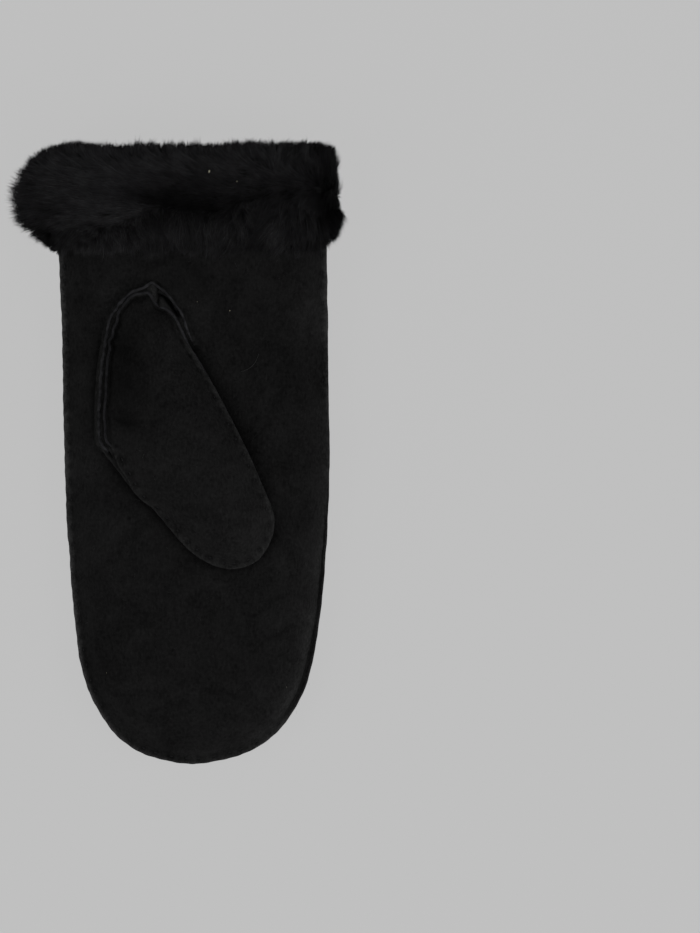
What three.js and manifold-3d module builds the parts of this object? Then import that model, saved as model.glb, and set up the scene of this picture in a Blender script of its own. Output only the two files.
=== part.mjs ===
// A dress mitten of black shearling for the right hand. It lies on its back with the palm and the thumb up.
// A palm panel and a back panel of suede are sewn together, and their edges stand out as a narrow flange.
// The thumb is a pouch of two suede panels. Its base is sewn into a hole of the palm with both edges turned
// up, and the rest lies free across the palm. Fleece lines the hand, and a cuff of fur rolls over the mouth.
// Millimetres. +X is the right of the mitten as seen from above, +Y points from the fingertips to the mouth,
// and +Z is up. The origin is on the resting plane, below the middle of the mitten's box.
import * as THREE from "three";
import { mergeVertices } from "three/addons/utils/BufferGeometryUtils.js";
import Module from "manifold-3d";

const wasm = await Module();
wasm.setup();

// Leather, seams and clearances
const LEATHER = 1.3;
const GAP = 0.3;
const SEAM_FLANGE = 3;
const THUMB_FLANGE = 2.4;
const LIP_HEIGHT = 2.8;

// The hand pouch, across its section
const SEAM_HEIGHT = 13;
const BODY_THICKNESS = 32;
const SIDE_ROUNDING = 27;
const TIP_CENTRE = { x: 6, y: -80 };
const FINGER_END_THINNING = 0.16;
const CROWN = 0.8;

// The cuff end of the hand pouch rises on the fur that lies under it
const CUFF_LIFT = 7.4;
const LIFT_START = 34;
const LIFT_END = 84;
const MOUTH_Y = 126;

// Fleece inside the hand
const FLEECE_CLEARANCE = 0.5;
const FLEECE_THICKNESS = 6;
const FLEECE_END_Y = 117;

// The raw edges of the side seams, a row for each stretch from the mouth to the fingertips
const BODY_ROWS = [
  { y: MOUTH_Y, left: -53.6, right: 64.2 },
  { y: 84, left: -53.5, right: 64.2 },
  { y: 60, left: -52.2, right: 64.6 },
  { y: 20, left: -51.7, right: 64.8 },
  { y: -21, left: -50.6, right: 64.7 },
  { y: -48, left: -48.8, right: 62.9 },
  { y: -68, left: -47.1, right: 61.1 },
  { y: -94, left: -44, right: 56.8 },
  { y: -107, left: -39.6, right: 52.4 },
  { y: -120, left: -32.1, right: 44.4 },
  { y: -127, left: -25.5, right: 37 },
  { y: -133.3, left: -14.1, right: 24.6 },
];
const FINGERTIP = { x: 4.8, y: -136.8 };

// The thumb's edge, from the top of its base down the left side, round its tip and back up the right side
const THUMB_EDGE = [
  { x: -12.8, y: 74.4 },
  { x: -26, y: 67.3 },
  { x: -32.7, y: 55.9 },
  { x: -35.2, y: 39 },
  { x: -36.7, y: 19 },
  { x: -34.6, y: 3.2 },
  { x: -24.9, y: -11.9 },
  { x: -10.6, y: -27.6 },
  { x: 6.6, y: -44.9 },
  { x: 21.6, y: -51.2 },
  { x: 34.1, y: -47.3 },
  { x: 41.4, y: -32 },
  { x: 34.6, y: -10.8 },
  { x: 16.1, y: 26.8 },
  { x: 4.3, y: 46.9 },
  { x: -1.8, y: 63.8 },
  { x: -5.8, y: 70.3 },
];
const THUMB_TIP_POINT = 9;
const THUMB_SPINE = { top: { x: -15, y: 50 }, tip: { x: 21, y: -31 } };

// Where the turned-up base seam ends on each side, as a share of the way from the base's top to the tip
const BASE_SEAM_LEFT = 0.5;
const BASE_SEAM_RIGHT = 0.25;
const SEAM_TURN = 0.08;

// Below the top of the base its two lips stand apart as a slit on the right, between these shares of the way
const SLIT = { from: 0.04, to: 0.17, width: 2.4 };

// The thumb over the palm
const THUMB_REST = 1.3;
const THUMB_HANG = 5.9;
const THUMB_HEIGHT = 12.5;
const THUMB_UNDERSIDE = 3.6;
const THUMB_CREASE = { from: { x: -30, y: 10 }, to: { x: -17, y: 6 }, depth: 1.8, width: 4 };

// The palm's leather goes on below the base seam, as a shelf that the thumb's front stands on
const HOLE_SHELF = 5;
const HOLE_OVERLAP = 4;

const { clamp, lerp, smoothstep } = THREE.MathUtils;
const mix = (a, b, share) => new THREE.Vector2(lerp(a.x, b.x, share), lerp(a.y, b.y, share));

// Solids and geometries

function solidOf(geometry) {
  const bare = new THREE.BufferGeometry().setAttribute("position", geometry.getAttribute("position"));
  if (geometry.index) bare.setIndex(geometry.index);
  const merged = mergeVertices(bare, 1e-3);
  const index = merged.index.array;
  const kept = [];
  for (let i = 0; i < index.length; i += 3) {
    const [a, b, c] = index.subarray(i, i + 3);
    if (a !== b && b !== c && c !== a) kept.push(a, b, c);
  }
  return new wasm.Manifold(
    new wasm.Mesh({
      numProp: 3,
      vertProperties: new Float32Array(merged.attributes.position.array),
      triVerts: new Uint32Array(kept),
    }),
  );
}

function geometryOf(solid) {
  const mesh = solid.getMesh();
  return new THREE.BufferGeometry()
    .setAttribute("position", new THREE.BufferAttribute(new Float32Array(mesh.vertProperties), 3))
    .setIndex(new THREE.BufferAttribute(new Uint32Array(mesh.triVerts), 1));
}

// Collects the faces of one solid, as quads split into two triangles.
class Faces {
  constructor() {
    this.points = [];
  }

  triangle(a, b, c) {
    this.points.push(a, b, c);
  }

  quad(a, b, c, d) {
    this.triangle(a, b, c);
    this.triangle(a, c, d);
  }

  // The strip between two lines of points, which have the same number of them.
  strip(first, second) {
    for (let i = 0; i + 1 < first.length; i++) this.quad(first[i], second[i], second[i + 1], first[i + 1]);
  }

  solid() {
    return solidOf(new THREE.BufferGeometry().setFromPoints(this.points));
  }
}

// The solid swept by closed rings of points. Its ends are capped by fans, or it closes on itself.
function ringsSolid(rings, closesOnItself = false) {
  const faces = new Faces();
  const closed = rings.map((ring) => [...ring, ring[0]]);
  const count = closesOnItself ? rings.length : rings.length - 1;
  for (let i = 0; i < count; i++) faces.strip(closed[i], closed[(i + 1) % rings.length]);
  if (!closesOnItself) {
    for (let k = 1; k + 1 < rings[0].length; k++) {
      faces.triangle(rings[0][0], rings[0][k], rings[0][k + 1]);
      const end = rings.at(-1);
      faces.triangle(end[0], end[k + 1], end[k]);
    }
  }
  return faces.solid();
}

// Outlines

// Points an equal distance apart along part of a curve.
function evenly(curve, from, to, count) {
  const fine = [];
  for (let i = 0; i <= 400; i++) fine.push(curve.getPoint(lerp(from, to, i / 400)));
  const along = [0];
  for (let i = 1; i < fine.length; i++) along.push(along[i - 1] + fine[i].distanceTo(fine[i - 1]));
  const points = [];
  let at = 0;
  for (let i = 0; i <= count; i++) {
    const want = (along.at(-1) * i) / count;
    while (at < fine.length - 2 && along[at + 1] < want) at++;
    const share = clamp((want - along[at]) / (along[at + 1] - along[at]), 0, 1);
    points.push(mix(fine[at], fine[at + 1], share));
  }
  return points;
}

const onCurve = (points, closed) =>
  new THREE.CatmullRomCurve3(
    points.map((p) => new THREE.Vector3(p.x, p.y, 0)),
    closed,
    "centripetal",
  );

// The left and right halves of the hand's edge, from the mouth to the fingertip.
function bodyHalves(count, mouthY = MOUTH_Y) {
  const rows = BODY_ROWS.map((row) => ({ ...row, y: Math.min(row.y, mouthY) }));
  const left = rows.map((row) => ({ x: row.left, y: row.y }));
  const right = rows.map((row) => ({ x: row.right, y: row.y })).reverse();
  const curve = onCurve([...left, FINGERTIP, ...right], false);
  return { left: evenly(curve, 0, 0.5, count), right: evenly(curve, 1, 0.5, count) };
}

// The left and right halves of the thumb's edge between two shares of each side.
function thumbHalves(count, leftFrom = 0, rightFrom = 0) {
  const curve = onCurve(THUMB_EDGE, true);
  const tip = THUMB_TIP_POINT / THUMB_EDGE.length;
  const fine = 480;
  const part = (edge, from) =>
    Array.from({ length: count + 1 }, (_, i) => edge[Math.round(lerp(from, 1, i / count) * fine)]);
  return {
    left: part(evenly(curve, 0, tip, fine), leftFrom),
    right: part(evenly(curve, 1, tip, fine), rightFrom),
  };
}

// The point of a pouch's spine that faces a station: level with it on the sides, fixed at the tip.
const bodySpine = (left, right) =>
  new THREE.Vector2(TIP_CENTRE.x, Math.max((left.y + right.y) / 2, TIP_CENTRE.y));
const thumbSpine = (left, right) => {
  const middle = mix(left, right, 0.5);
  return mix(THUMB_SPINE.top, THUMB_SPINE.tip, clamp(alongThumb(middle.x, middle.y), 0, 1));
};

// Heights

// Steepest at the seam and level at the end of the rounding.
const dome = (share) => 1 - (1 - clamp(share, 0, 1)) ** 2.6;

const lift = (y) => CUFF_LIFT * smoothstep(y, LIFT_START, LIFT_END);
const seamZ = (y) => SEAM_HEIGHT + lift(y);
const flangeLevel = GAP / 2 + LEATHER / 2;
const palmRise = (x, y) =>
  (BODY_THICKNESS - SEAM_HEIGHT - GAP / 2 - LEATHER) * (1 - FINGER_END_THINNING * smoothstep(-y, 10, 120));
const backRise = () => SEAM_HEIGHT - GAP / 2 - LEATHER;

// The edge of the hand at a height up the palm, and the top of the palm's leather at a place.
function edgeAt(y, side) {
  const rows = BODY_ROWS;
  const i = clamp(rows.findIndex((row) => row.y <= y) - 1, 0, rows.length - 2);
  const share = clamp((rows[i].y - y) / (rows[i].y - rows[i + 1].y), 0, 1);
  return lerp(rows[i][side], rows[i + 1][side], share);
}
function palmTopAt(x, y) {
  const inward = Math.min(x - edgeAt(y, "left"), edgeAt(y, "right") - x) - SEAM_FLANGE;
  return seamZ(y) + GAP / 2 + LEATHER + palmRise(x, y) * dome(inward / SIDE_ROUNDING);
}

// Sheets of leather

// A panel is a sheet laid out along both halves of an outline. At each station its profile runs from the
// edge in to the spine: `in` is the distance from the edge, `up` the height over the panel's ground, and
// `swell` a share of its rise at that place.
function centreLine(edge, spine, profile, panel) {
  const reach = edge.distanceTo(spine);
  return profile.map((point) => {
    const place = mix(edge, spine, Math.min(point.in / reach, 1));
    const rise = point.swell * panel.rise(place.x, place.y);
    return new THREE.Vector3(place.x, place.y, panel.ground(place.x, place.y) + point.up + rise);
  });
}

// The same line a distance off, square to it in the upright plane through the edge and the spine.
function lineBeside(line, distance) {
  const inward = line.at(-1).clone().sub(line[0]).setZ(0).normalize();
  return line.map((point, i) => {
    const run = line[Math.min(i + 1, line.length - 1)].clone().sub(line[Math.max(i - 1, 0)]);
    const along = run.dot(inward);
    const normal = inward.clone().multiplyScalar(-run.z).setZ(along).normalize();
    if (i === line.length - 1) normal.set(0, 0, 1);
    return point.clone().addScaledVector(normal, distance);
  });
}

function gridOf(panel, distance) {
  const { left, right } = panel.halves;
  return left.map((_, j) => {
    const spine = panel.spine(left[j], right[j]);
    const share = j / (left.length - 1);
    const side = (edge, name) => {
      const profile = panel.profile(share, name, edge.distanceTo(spine));
      return lineBeside(centreLine(edge, spine, profile, panel), distance);
    };
    return [...side(left[j], "left"), ...side(right[j], "right").slice(0, -1).reverse()];
  });
}

// The solid between two grids that face each other, with a wall at its start unless that is a point.
function sheetSolid(upper, lower) {
  const faces = new Faces();
  for (let j = 0; j + 1 < upper.length; j++) {
    faces.strip(upper[j], upper[j + 1]);
    faces.strip(lower[j + 1], lower[j]);
  }
  const edge = (grid, column) => grid.map((row) => row.at(column));
  faces.strip(edge(upper, 0), edge(lower, 0));
  faces.strip(edge(lower, -1), edge(upper, -1));
  if (upper[0][0].distanceTo(upper[0].at(-1)) > 0.01) faces.strip(lower[0], upper[0]);
  return faces.solid();
}

const leatherSheet = (panel) => sheetSolid(gridOf(panel, LEATHER / 2), gridOf(panel, -LEATHER / 2));

// The hand's panels

const ROUNDING_STEPS = [0, 0.1, 0.25, 0.45, 0.7, 1];

const handPanel = (rise, up, rows) =>
  leatherSheet({
    halves: bodyHalves(rows),
    spine: bodySpine,
    ground: (x, y) => seamZ(y),
    rise,
    profile: (share, side, reach) => [
      { in: 0, up: up * flangeLevel, swell: 0 },
      ...ROUNDING_STEPS.map((q) => ({
        in: SEAM_FLANGE + q * SIDE_ROUNDING,
        up: up * flangeLevel,
        swell: up * dome(q),
      })),
      { in: reach, up: up * flangeLevel + (up > 0 ? CROWN : 0), swell: up },
    ],
  });

// Half of the closed form inside the leather, drawn in by a distance: the palm's half where `up` is 1, and
// the back's where it is -1.
const innerHalf = (rise, up, inset) =>
  gridOf(
    {
      halves: bodyHalves(16, FLEECE_END_Y),
      spine: bodySpine,
      ground: (x, y) => seamZ(y),
      rise: (x, y) => rise(x, y) + LEATHER - inset,
      profile: (share, side, reach) => [
        ...[0, 0.12, 0.4, 1].map((q) => ({
          in: SEAM_FLANGE + inset + q * (SIDE_ROUNDING - inset / 2),
          up: (up * GAP) / 2,
          swell: up * dome(q),
        })),
        { in: reach, up: (up * GAP) / 2, swell: up },
      ],
    },
    0,
  );

// The wool of one panel.
function fleeceHalf(rise, up) {
  const outer = innerHalf(rise, up, LEATHER + FLEECE_CLEARANCE);
  const inner = innerHalf(rise, up, LEATHER + FLEECE_CLEARANCE + FLEECE_THICKNESS);
  return up > 0 ? sheetSolid(outer, inner) : sheetSolid(inner, outer);
}

// The thumb

const turnedUp = (share, side) => {
  const end = side === "left" ? BASE_SEAM_LEFT : BASE_SEAM_RIGHT;
  return 1 - smoothstep(share, end - SEAM_TURN, end);
};
// The lips meet all round except at the slit, on the right just below the top of the thumb.
const lipSpread = (share, side) => {
  const along = clamp((share - SLIT.from) / (SLIT.to - SLIT.from), 0, 1);
  return side === "left" ? 0 : SLIT.width * Math.sin(along * Math.PI);
};

// How far a place lies along the thumb, from 0 at the top of its spine to 1 at the tip end.
function alongThumb(x, y) {
  const { top, tip } = THUMB_SPINE;
  const along = new THREE.Vector2(tip.x - top.x, tip.y - top.y);
  return new THREE.Vector2(x - top.x, y - top.y).dot(along) / along.lengthSq();
}

// The thumb's seam lies on the palm at the base and hangs above it from the fold to the tip.
const thumbSeamAt = (x, y) =>
  palmTopAt(x, y) +
  lerp(THUMB_REST, THUMB_HANG, smoothstep(alongThumb(x, y) + (x - THUMB_SPINE.top.x) * 0.006, -0.1, 0.55));

// A crease runs into the thumb from where its seam turns over.
function creaseDepth(x, y) {
  const { from, to, depth, width } = THUMB_CREASE;
  const run = new THREE.Vector2(to.x - from.x, to.y - from.y);
  const share = clamp(new THREE.Vector2(x - from.x, y - from.y).dot(run) / run.lengthSq(), 0, 1);
  const away = mix(from, to, share).distanceTo({ x, y });
  return depth * (1 - share / 2) * Math.exp(-((away / width) ** 2));
}
const thumbRise = (x, y) =>
  THUMB_HEIGHT * lerp(0.66, 1, smoothstep(alongThumb(x, y), -0.2, 0.5)) - creaseDepth(x, y);
const thumbDepth = (x, y) => THUMB_UNDERSIDE * lerp(0.3, 1, smoothstep(alongThumb(x, y), 0.2, 0.7));

const THUMB_LEVEL = (LEATHER + GAP) / 2;

// The front's edge is a flange along the free part of the thumb, and stands up as a lip along the base seam.
function thumbFrontProfile(share, side, reach) {
  const base = turnedUp(share, side);
  const lip = LEATHER * 1.7 + 2 * GAP + lipSpread(share, side);
  const foot = THUMB_LEVEL + GAP / 2 - THUMB_REST;
  const flanged = [
    { in: 0, up: THUMB_LEVEL, swell: 0 },
    { in: THUMB_FLANGE, up: THUMB_LEVEL, swell: 0 },
    ...[0.05, 0.16, 0.34, 0.6, 1].map((q) => ({
      in: lerp(THUMB_FLANGE, reach, q),
      up: THUMB_LEVEL,
      swell: 1 - (1 - q) ** 2.2,
    })),
  ];
  const lipped = [
    { in: lip, up: LIP_HEIGHT - THUMB_REST, swell: 0 },
    { in: lip + 0.2, up: foot + 0.3, swell: 0 },
    { in: lip + 1.6, up: foot, swell: 0 },
    ...[0.14, 0.34, 0.6, 1].map((q) => ({
      in: lerp(lip + 1.6, reach, q),
      up: lerp(foot, THUMB_LEVEL, q),
      swell: Math.sin((q * Math.PI) / 2),
    })),
  ];
  return flanged.map((point, i) => ({
    in: lerp(point.in, lipped[i].in, base),
    up: lerp(point.up, lipped[i].up, base),
    swell: lerp(point.swell, lipped[i].swell, base),
  }));
}

const thumbBackProfile = (share, side, reach) => [
  { in: 0, up: -THUMB_LEVEL, swell: 0 },
  { in: THUMB_FLANGE, up: -THUMB_LEVEL, swell: 0 },
  { in: THUMB_FLANGE + 1.4, up: -THUMB_LEVEL, swell: -0.5 },
  { in: THUMB_FLANGE + 4.6, up: -THUMB_LEVEL, swell: -1 },
  { in: reach, up: -THUMB_LEVEL, swell: -1 },
];

const thumbFront = () =>
  leatherSheet({
    halves: thumbHalves(26),
    spine: thumbSpine,
    ground: thumbSeamAt,
    rise: thumbRise,
    profile: thumbFrontProfile,
  });

const thumbBack = () =>
  leatherSheet({
    halves: thumbHalves(15, BASE_SEAM_LEFT, BASE_SEAM_RIGHT),
    spine: thumbSpine,
    ground: thumbSeamAt,
    rise: thumbDepth,
    profile: thumbBackProfile,
  });

// The base seam, from the end of its left side over the top of the base to the end of its right side.
function baseSeam(count) {
  const fine = 120;
  const { left, right } = thumbHalves(fine);
  const upLeft = left.slice(0, Math.round(BASE_SEAM_LEFT * fine) + 1).reverse();
  const downRight = right.slice(1, Math.round(BASE_SEAM_RIGHT * fine) + 1);
  const line = [...upLeft, ...downRight];
  return Array.from({ length: count + 1 }, (_, i) => {
    const at = Math.round((i / count) * (line.length - 1));
    const before = line[Math.max(at - 1, 0)];
    const after = line[Math.min(at + 1, line.length - 1)];
    const run = after.clone().sub(before).normalize();
    return { point: line[at], inward: new THREE.Vector2(run.y, -run.x), share: i / count };
  });
}

// The edge of the palm's thumb hole, turned up along the base seam.
function palmLip() {
  const rings = baseSeam(40).map(({ point, inward, share }) => {
    const ends = smoothstep(share, 0, 0.04) * (1 - smoothstep(share, 0.96, 1));
    const inner = point.clone().addScaledVector(inward, LEATHER * 1.2);
    const outerTop = point.clone().addScaledVector(inward, 0.3);
    const top = palmTopAt(point.x, point.y) + LIP_HEIGHT * lerp(0.3, 1, ends);
    const bottom = palmTopAt(point.x, point.y) - LEATHER / 2;
    return [
      new THREE.Vector3(inner.x, inner.y, bottom),
      new THREE.Vector3(inner.x, inner.y, top),
      new THREE.Vector3(outerTop.x, outerTop.y, top),
      new THREE.Vector3(point.x, point.y, bottom),
    ];
  });
  return ringsSolid(rings);
}

// A prism through the palm, inside the base seam by a distance and up to the fold under the thumb.
function thumbHole(inset) {
  const { top, tip } = THUMB_SPINE;
  const fold = new THREE.Vector2(top.x - tip.x, top.y - tip.y).normalize();
  const line = baseSeam(40).map(({ point, inward, share }) => {
    const atEnd = Math.max(1 - Math.min(share, 1 - share) / 0.08, 0);
    return point
      .clone()
      .addScaledVector(inward, inset)
      .addScaledVector(fold, HOLE_OVERLAP * atEnd);
  });
  const prism = new THREE.ExtrudeGeometry(new THREE.Shape(line), { depth: 40, bevelEnabled: false });
  prism.translate(0, 0, SEAM_HEIGHT + 2);
  return solidOf(prism);
}

// The cuff

// Contours round the hand at the mouth: `half` is half the width, `rounding` the length of the curved sides,
// `curve` the power that bends them, and `up` and `down` the heights above and below the seam.
const CUFF_MIDDLE = { x: 5.3, z: SEAM_HEIGHT + CUFF_LIFT };
const CONTOURS = {
  outer: { half: 59.3, rounding: 30.4, curve: 0.87, up: 20.1, down: 13.3 },
  inner: { half: 54, rounding: 26, curve: 1.65, up: 16.9, down: 10.9 },
};

// The section through the ring of fur, a row for each of its corners: `y` is the place along the mitten,
// `off` the distance out from the contour, and `share` the part of the fur's thickness that is added to it.
const CUFF_SECTION = [
  { y: 92.5, on: "outer", off: 0, share: 0 },
  { y: 89.5, on: "outer", off: 0, share: 0.26 },
  { y: 91, on: "outer", off: 0, share: 0.46 },
  { y: 97, on: "outer", off: 0, share: 0.72 },
  { y: 105, on: "outer", off: 0, share: 0.95 },
  { y: 113, on: "outer", off: 0, share: 1 },
  { y: 121, on: "outer", off: 0, share: 0.92 },
  { y: 128, on: "outer", off: 0, share: 0.72 },
  { y: 133, on: "outer", off: 0, share: 0.38 },
  { y: 135.2, on: "outer", off: -2, share: 0.02 },
  { y: 134, on: "inner", off: -2, share: 0 },
  { y: 130, on: "inner", off: -4.8, share: 0 },
  { y: 124, on: "inner", off: -5.8, share: 0 },
  { y: 117.3, on: "inner", off: -5.8, share: 0 },
  { y: 117.3, on: "inner", off: 0, share: 0 },
  { y: 126.4, on: "inner", off: 0, share: 0 },
  { y: 126.4, on: "outer", off: 0, share: 0 },
];
const CUFF_THICKNESS = { left: 17.8, right: 9, up: 8.6, down: 9 };
const CUFF_STEPS = 48;

// A point of a contour, `turn` of the way round from the left seam over the top. Its z is from the seam.
function contourPoint(contour, turn) {
  const wrapped = turn - Math.floor(turn);
  const below = wrapped > 0.5;
  const across = below ? 2 - 2 * wrapped : 2 * wrapped;
  const fromSeam = Math.min(across, 1 - across);
  const angle = (Math.min(fromSeam / 0.28, 1) * Math.PI) / 2;
  const flat = Math.max(fromSeam - 0.28, 0) / 0.22;
  const curved = contour.rounding * (1 - Math.cos(angle) ** contour.curve);
  const inward = curved + flat * (contour.half - contour.rounding);
  const x = (across < 0.5 ? -1 : 1) * (contour.half - inward);
  return new THREE.Vector2(x, Math.sin(angle) * (below ? -contour.down : contour.up));
}

function cuffPoint(turn, row) {
  const contour = CONTOURS[row.on];
  const at = contourPoint(contour, turn);
  const run = contourPoint(contour, turn + 0.004).sub(contourPoint(contour, turn - 0.004)).normalize();
  const out = new THREE.Vector2(-run.y, run.x);
  const sideways = out.x < 0 ? CUFF_THICKNESS.left : CUFF_THICKNESS.right;
  const upright = out.y < 0 ? CUFF_THICKNESS.down : CUFF_THICKNESS.up;
  const thickness = sideways * out.x ** 2 + upright * out.y ** 2;
  at.addScaledVector(out, row.off + row.share * thickness);
  return new THREE.Vector3(CUFF_MIDDLE.x + at.x, row.y, CUFF_MIDDLE.z + at.y);
}

function cuffRing() {
  const rings = [];
  for (let i = 0; i < CUFF_STEPS; i++) {
    rings.push(CUFF_SECTION.map((row) => cuffPoint(i / CUFF_STEPS, row)));
  }
  return ringsSolid(rings, true);
}

// Locks lie in rows on the outside of the ring, each a tapering ridge fused to it whose tip lifts off.
// `lay` is how much a lock points up the mitten instead of round to its left side.
const LOCK_ROWS = [
  { y: 95.5, count: 24, lay: -1.5, length: 10 },
  { y: 102, count: 18, lay: -0.8, length: 14 },
  { y: 109.5, count: 18, lay: -0.3, length: 16 },
  { y: 117, count: 18, lay: 0.1, length: 16 },
  { y: 123.5, count: 18, lay: 0.6, length: 14 },
  { y: 129, count: 22, lay: 1.8, length: 6 },
];
const LOCK = { half: 5.4, height: 1.8, sunk: 1.6, lift: 2.6 };
const CUFF_GIRTH = 400;

function outsideRowAt(y) {
  const outside = CUFF_SECTION.slice(2, 10);
  const i = clamp(outside.findLastIndex((row) => row.y <= y), 0, outside.length - 2);
  const way = (y - outside[i].y) / (outside[i + 1].y - outside[i].y);
  const share = Math.max(lerp(outside[i].share, outside[i + 1].share, way), 0.1);
  return { y, on: "outer", off: 0, share };
}

// A point on the fur's outside, with the directions round the cuff, up the mitten and out of the fur.
function furPoint(turn, y) {
  const at = cuffPoint(turn, outsideRowAt(y));
  const around = cuffPoint(turn + 0.01, outsideRowAt(y)).sub(at).normalize();
  const rise = cuffPoint(turn, outsideRowAt(y + 0.5)).sub(at).normalize();
  return { at, around, rise, out: around.clone().cross(rise).normalize() };
}

// One lock, as three-sided sections from its root to its tip. It follows the fur's outside.
function lockSolid(turn, y, lay, length) {
  const way = turn < 0.5 ? -1 : 1;
  const section = (share, low, half, high) => {
    const forward = (share * length) / Math.hypot(1, lay);
    const { at, around, rise, out } = furPoint(turn + (forward * way) / CUFF_GIRTH, y + forward * lay);
    const along = around.multiplyScalar(way).addScaledVector(rise, lay);
    const across = out.clone().cross(along).normalize();
    return [
      at.clone().addScaledVector(out, low).addScaledVector(across, half),
      at.clone().addScaledVector(out, low).addScaledVector(across, -half),
      at.clone().addScaledVector(out, high),
    ];
  };
  const root = section(0, -LOCK.sunk, LOCK.half * 0.7, 0);
  const belly = section(0.4, -LOCK.sunk * 0.5, LOCK.half, LOCK.height);
  const tip = section(1, 0, 0, LOCK.lift)[2];
  const faces = new Faces();
  faces.triangle(...root);
  for (let k = 0; k < 3; k++) {
    const next = (k + 1) % 3;
    faces.quad(root[k], belly[k], belly[next], root[next]);
    faces.triangle(belly[k], tip, belly[next]);
  }
  return faces.solid();
}

function cuffLocks() {
  const locks = [];
  LOCK_ROWS.forEach((row, r) => {
    for (let i = 0; i < row.count; i++) {
      const turn = (i + 0.5 * (r % 2) + 0.3 * Math.sin(i * 2.4 + r)) / row.count;
      const y = row.y + 1.4 * Math.sin(i * 4.3 + r);
      const lay = row.lay + 0.5 * Math.sin(i * 1.7 + 2 * r);
      locks.push(lockSolid(turn, y, lay, row.length * (1 + 0.2 * Math.sin(i * 3.1 + 2 * r))));
    }
  });
  return locks;
}

const box = (low, high) => {
  const size = high.clone().sub(low);
  const middle = low.clone().add(high).multiplyScalar(0.5);
  return solidOf(new THREE.BoxGeometry(size.x, size.y, size.z).translate(middle.x, middle.y, middle.z));
};

function furCuff() {
  const floor = box(new THREE.Vector3(-120, 40, -40), new THREE.Vector3(120, 180, 0));
  return cuffLocks()
    .reduce((fur, lock) => fur.add(lock), cuffRing())
    .subtract(floor);
}

// The pieces

const SUEDE = new THREE.MeshStandardMaterial({ color: 0x161616, roughness: 0.95, metalness: 0 });
const FLEECE = new THREE.MeshStandardMaterial({ color: 0x141414, roughness: 1, metalness: 0 });
const FUR = new THREE.MeshStandardMaterial({ color: 0x0e0e0f, roughness: 0.8, metalness: 0 });

function piece(name, solid, material) {
  const mesh = new THREE.Mesh(geometryOf(solid), material);
  mesh.name = name;
  return mesh;
}

const palm = handPanel(palmRise, 1, 26).add(palmLip()).subtract(thumbHole(HOLE_SHELF));
const back = handPanel(backRise, -1, 20);
const palmFleece = fleeceHalf(palmRise, 1).subtract(thumbHole(HOLE_SHELF + 1));
const backFleece = fleeceHalf(backRise, -1);

const hand = new THREE.Group();
hand.add(piece("palm_panel", palm, SUEDE));
hand.add(piece("back_panel", back, SUEDE));
hand.add(piece("palm_fleece", palmFleece, FLEECE));
hand.add(piece("back_fleece", backFleece, FLEECE));

const thumb = new THREE.Group();
thumb.add(piece("thumb_front", thumbFront(), SUEDE));
thumb.add(piece("thumb_back", thumbBack(), SUEDE));

const cuff = new THREE.Group();
cuff.add(piece("fur_cuff", furCuff(), FUR));

const mitten = new THREE.Group();
mitten.add(hand, thumb, cuff);

export default mitten;
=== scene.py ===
import math

import bmesh
import bpy
import numpy as np
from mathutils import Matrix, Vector, noise
from mathutils.bvhtree import BVHTree


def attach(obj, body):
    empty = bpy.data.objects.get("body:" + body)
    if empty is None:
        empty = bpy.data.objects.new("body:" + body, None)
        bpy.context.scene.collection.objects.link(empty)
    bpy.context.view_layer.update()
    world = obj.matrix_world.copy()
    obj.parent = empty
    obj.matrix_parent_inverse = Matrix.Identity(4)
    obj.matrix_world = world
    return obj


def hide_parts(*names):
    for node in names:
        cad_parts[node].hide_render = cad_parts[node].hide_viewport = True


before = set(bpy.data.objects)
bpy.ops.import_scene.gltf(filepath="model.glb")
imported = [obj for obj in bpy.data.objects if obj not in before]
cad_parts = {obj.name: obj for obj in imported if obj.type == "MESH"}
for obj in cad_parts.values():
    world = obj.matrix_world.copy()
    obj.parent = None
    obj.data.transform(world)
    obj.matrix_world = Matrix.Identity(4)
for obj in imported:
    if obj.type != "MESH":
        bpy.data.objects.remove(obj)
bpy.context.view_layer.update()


# 1. Palm
# One piece of brushed black sheepskin, skin side out, cut to the outline of the hand. Its edge is sewn flat
# on the back's, as a narrow flange with a raw edge, and a hole in it lets the thumb through.
MM = 0.001
LEATHER = 1.3
HALF_GAP = 0.15
FLANGE = 3.0
SEAM_HEIGHT = 13.0
BODY_THICKNESS = 32.0
SIDE_ROUNDING = 27.0
CUFF_LIFT = 7.4
MOUTH_Y = 126.0
TIP_CENTRE = (6.0, -80.0)
HAND_ROWS = [  # y, and the raw edges on the left and the right
    (126, -53.6, 64.2), (84, -53.5, 64.2), (60, -52.6, 64.6), (20, -52.1, 65), (4, -51.6, 65.5),
    (-21, -51, 65), (-48, -49.3, 63.5), (-68, -47.7, 61.8), (-94, -44.4, 57.5), (-107, -40.1, 53.4),
    (-120, -32.8, 45.5), (-127, -26.5, 38.4), (-133.6, -15.8, 26.2),
]
FINGERTIP = (4.8, -137.6)
STITCH_PITCH = 6.8
STITCH_IN = 2.5
HOLE_LENGTH, HOLE_WIDTH = 1.5, 1.3
PUCKER, PIT = 0.09, 0.5  # how high the skin stands between two stitches and how deep it sinks at one
PALM_CROWN = 0.8
RELAX_ROUNDS = 30
LINE_STEPS = 40  # to a span of a flowing line
FINE_STEPS = 960  # to a side of the thumb


def smooth(value, low, high):
    share = np.clip((value - low) / (high - low), 0, 1)
    return share * share * (3 - 2 * share)


def bell(away, width=1.0):
    """1 where away is 0, falling off smoothly on both sides of it."""
    return np.exp(-((away / width) ** 2))


def dome(share):
    """Steepest at the seam and level where the rounding ends."""
    return 1 - (1 - np.clip(share, 0, 1)) ** 2.6


def as_columns(table):
    return [np.array(column, float) for column in zip(*table)]


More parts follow.
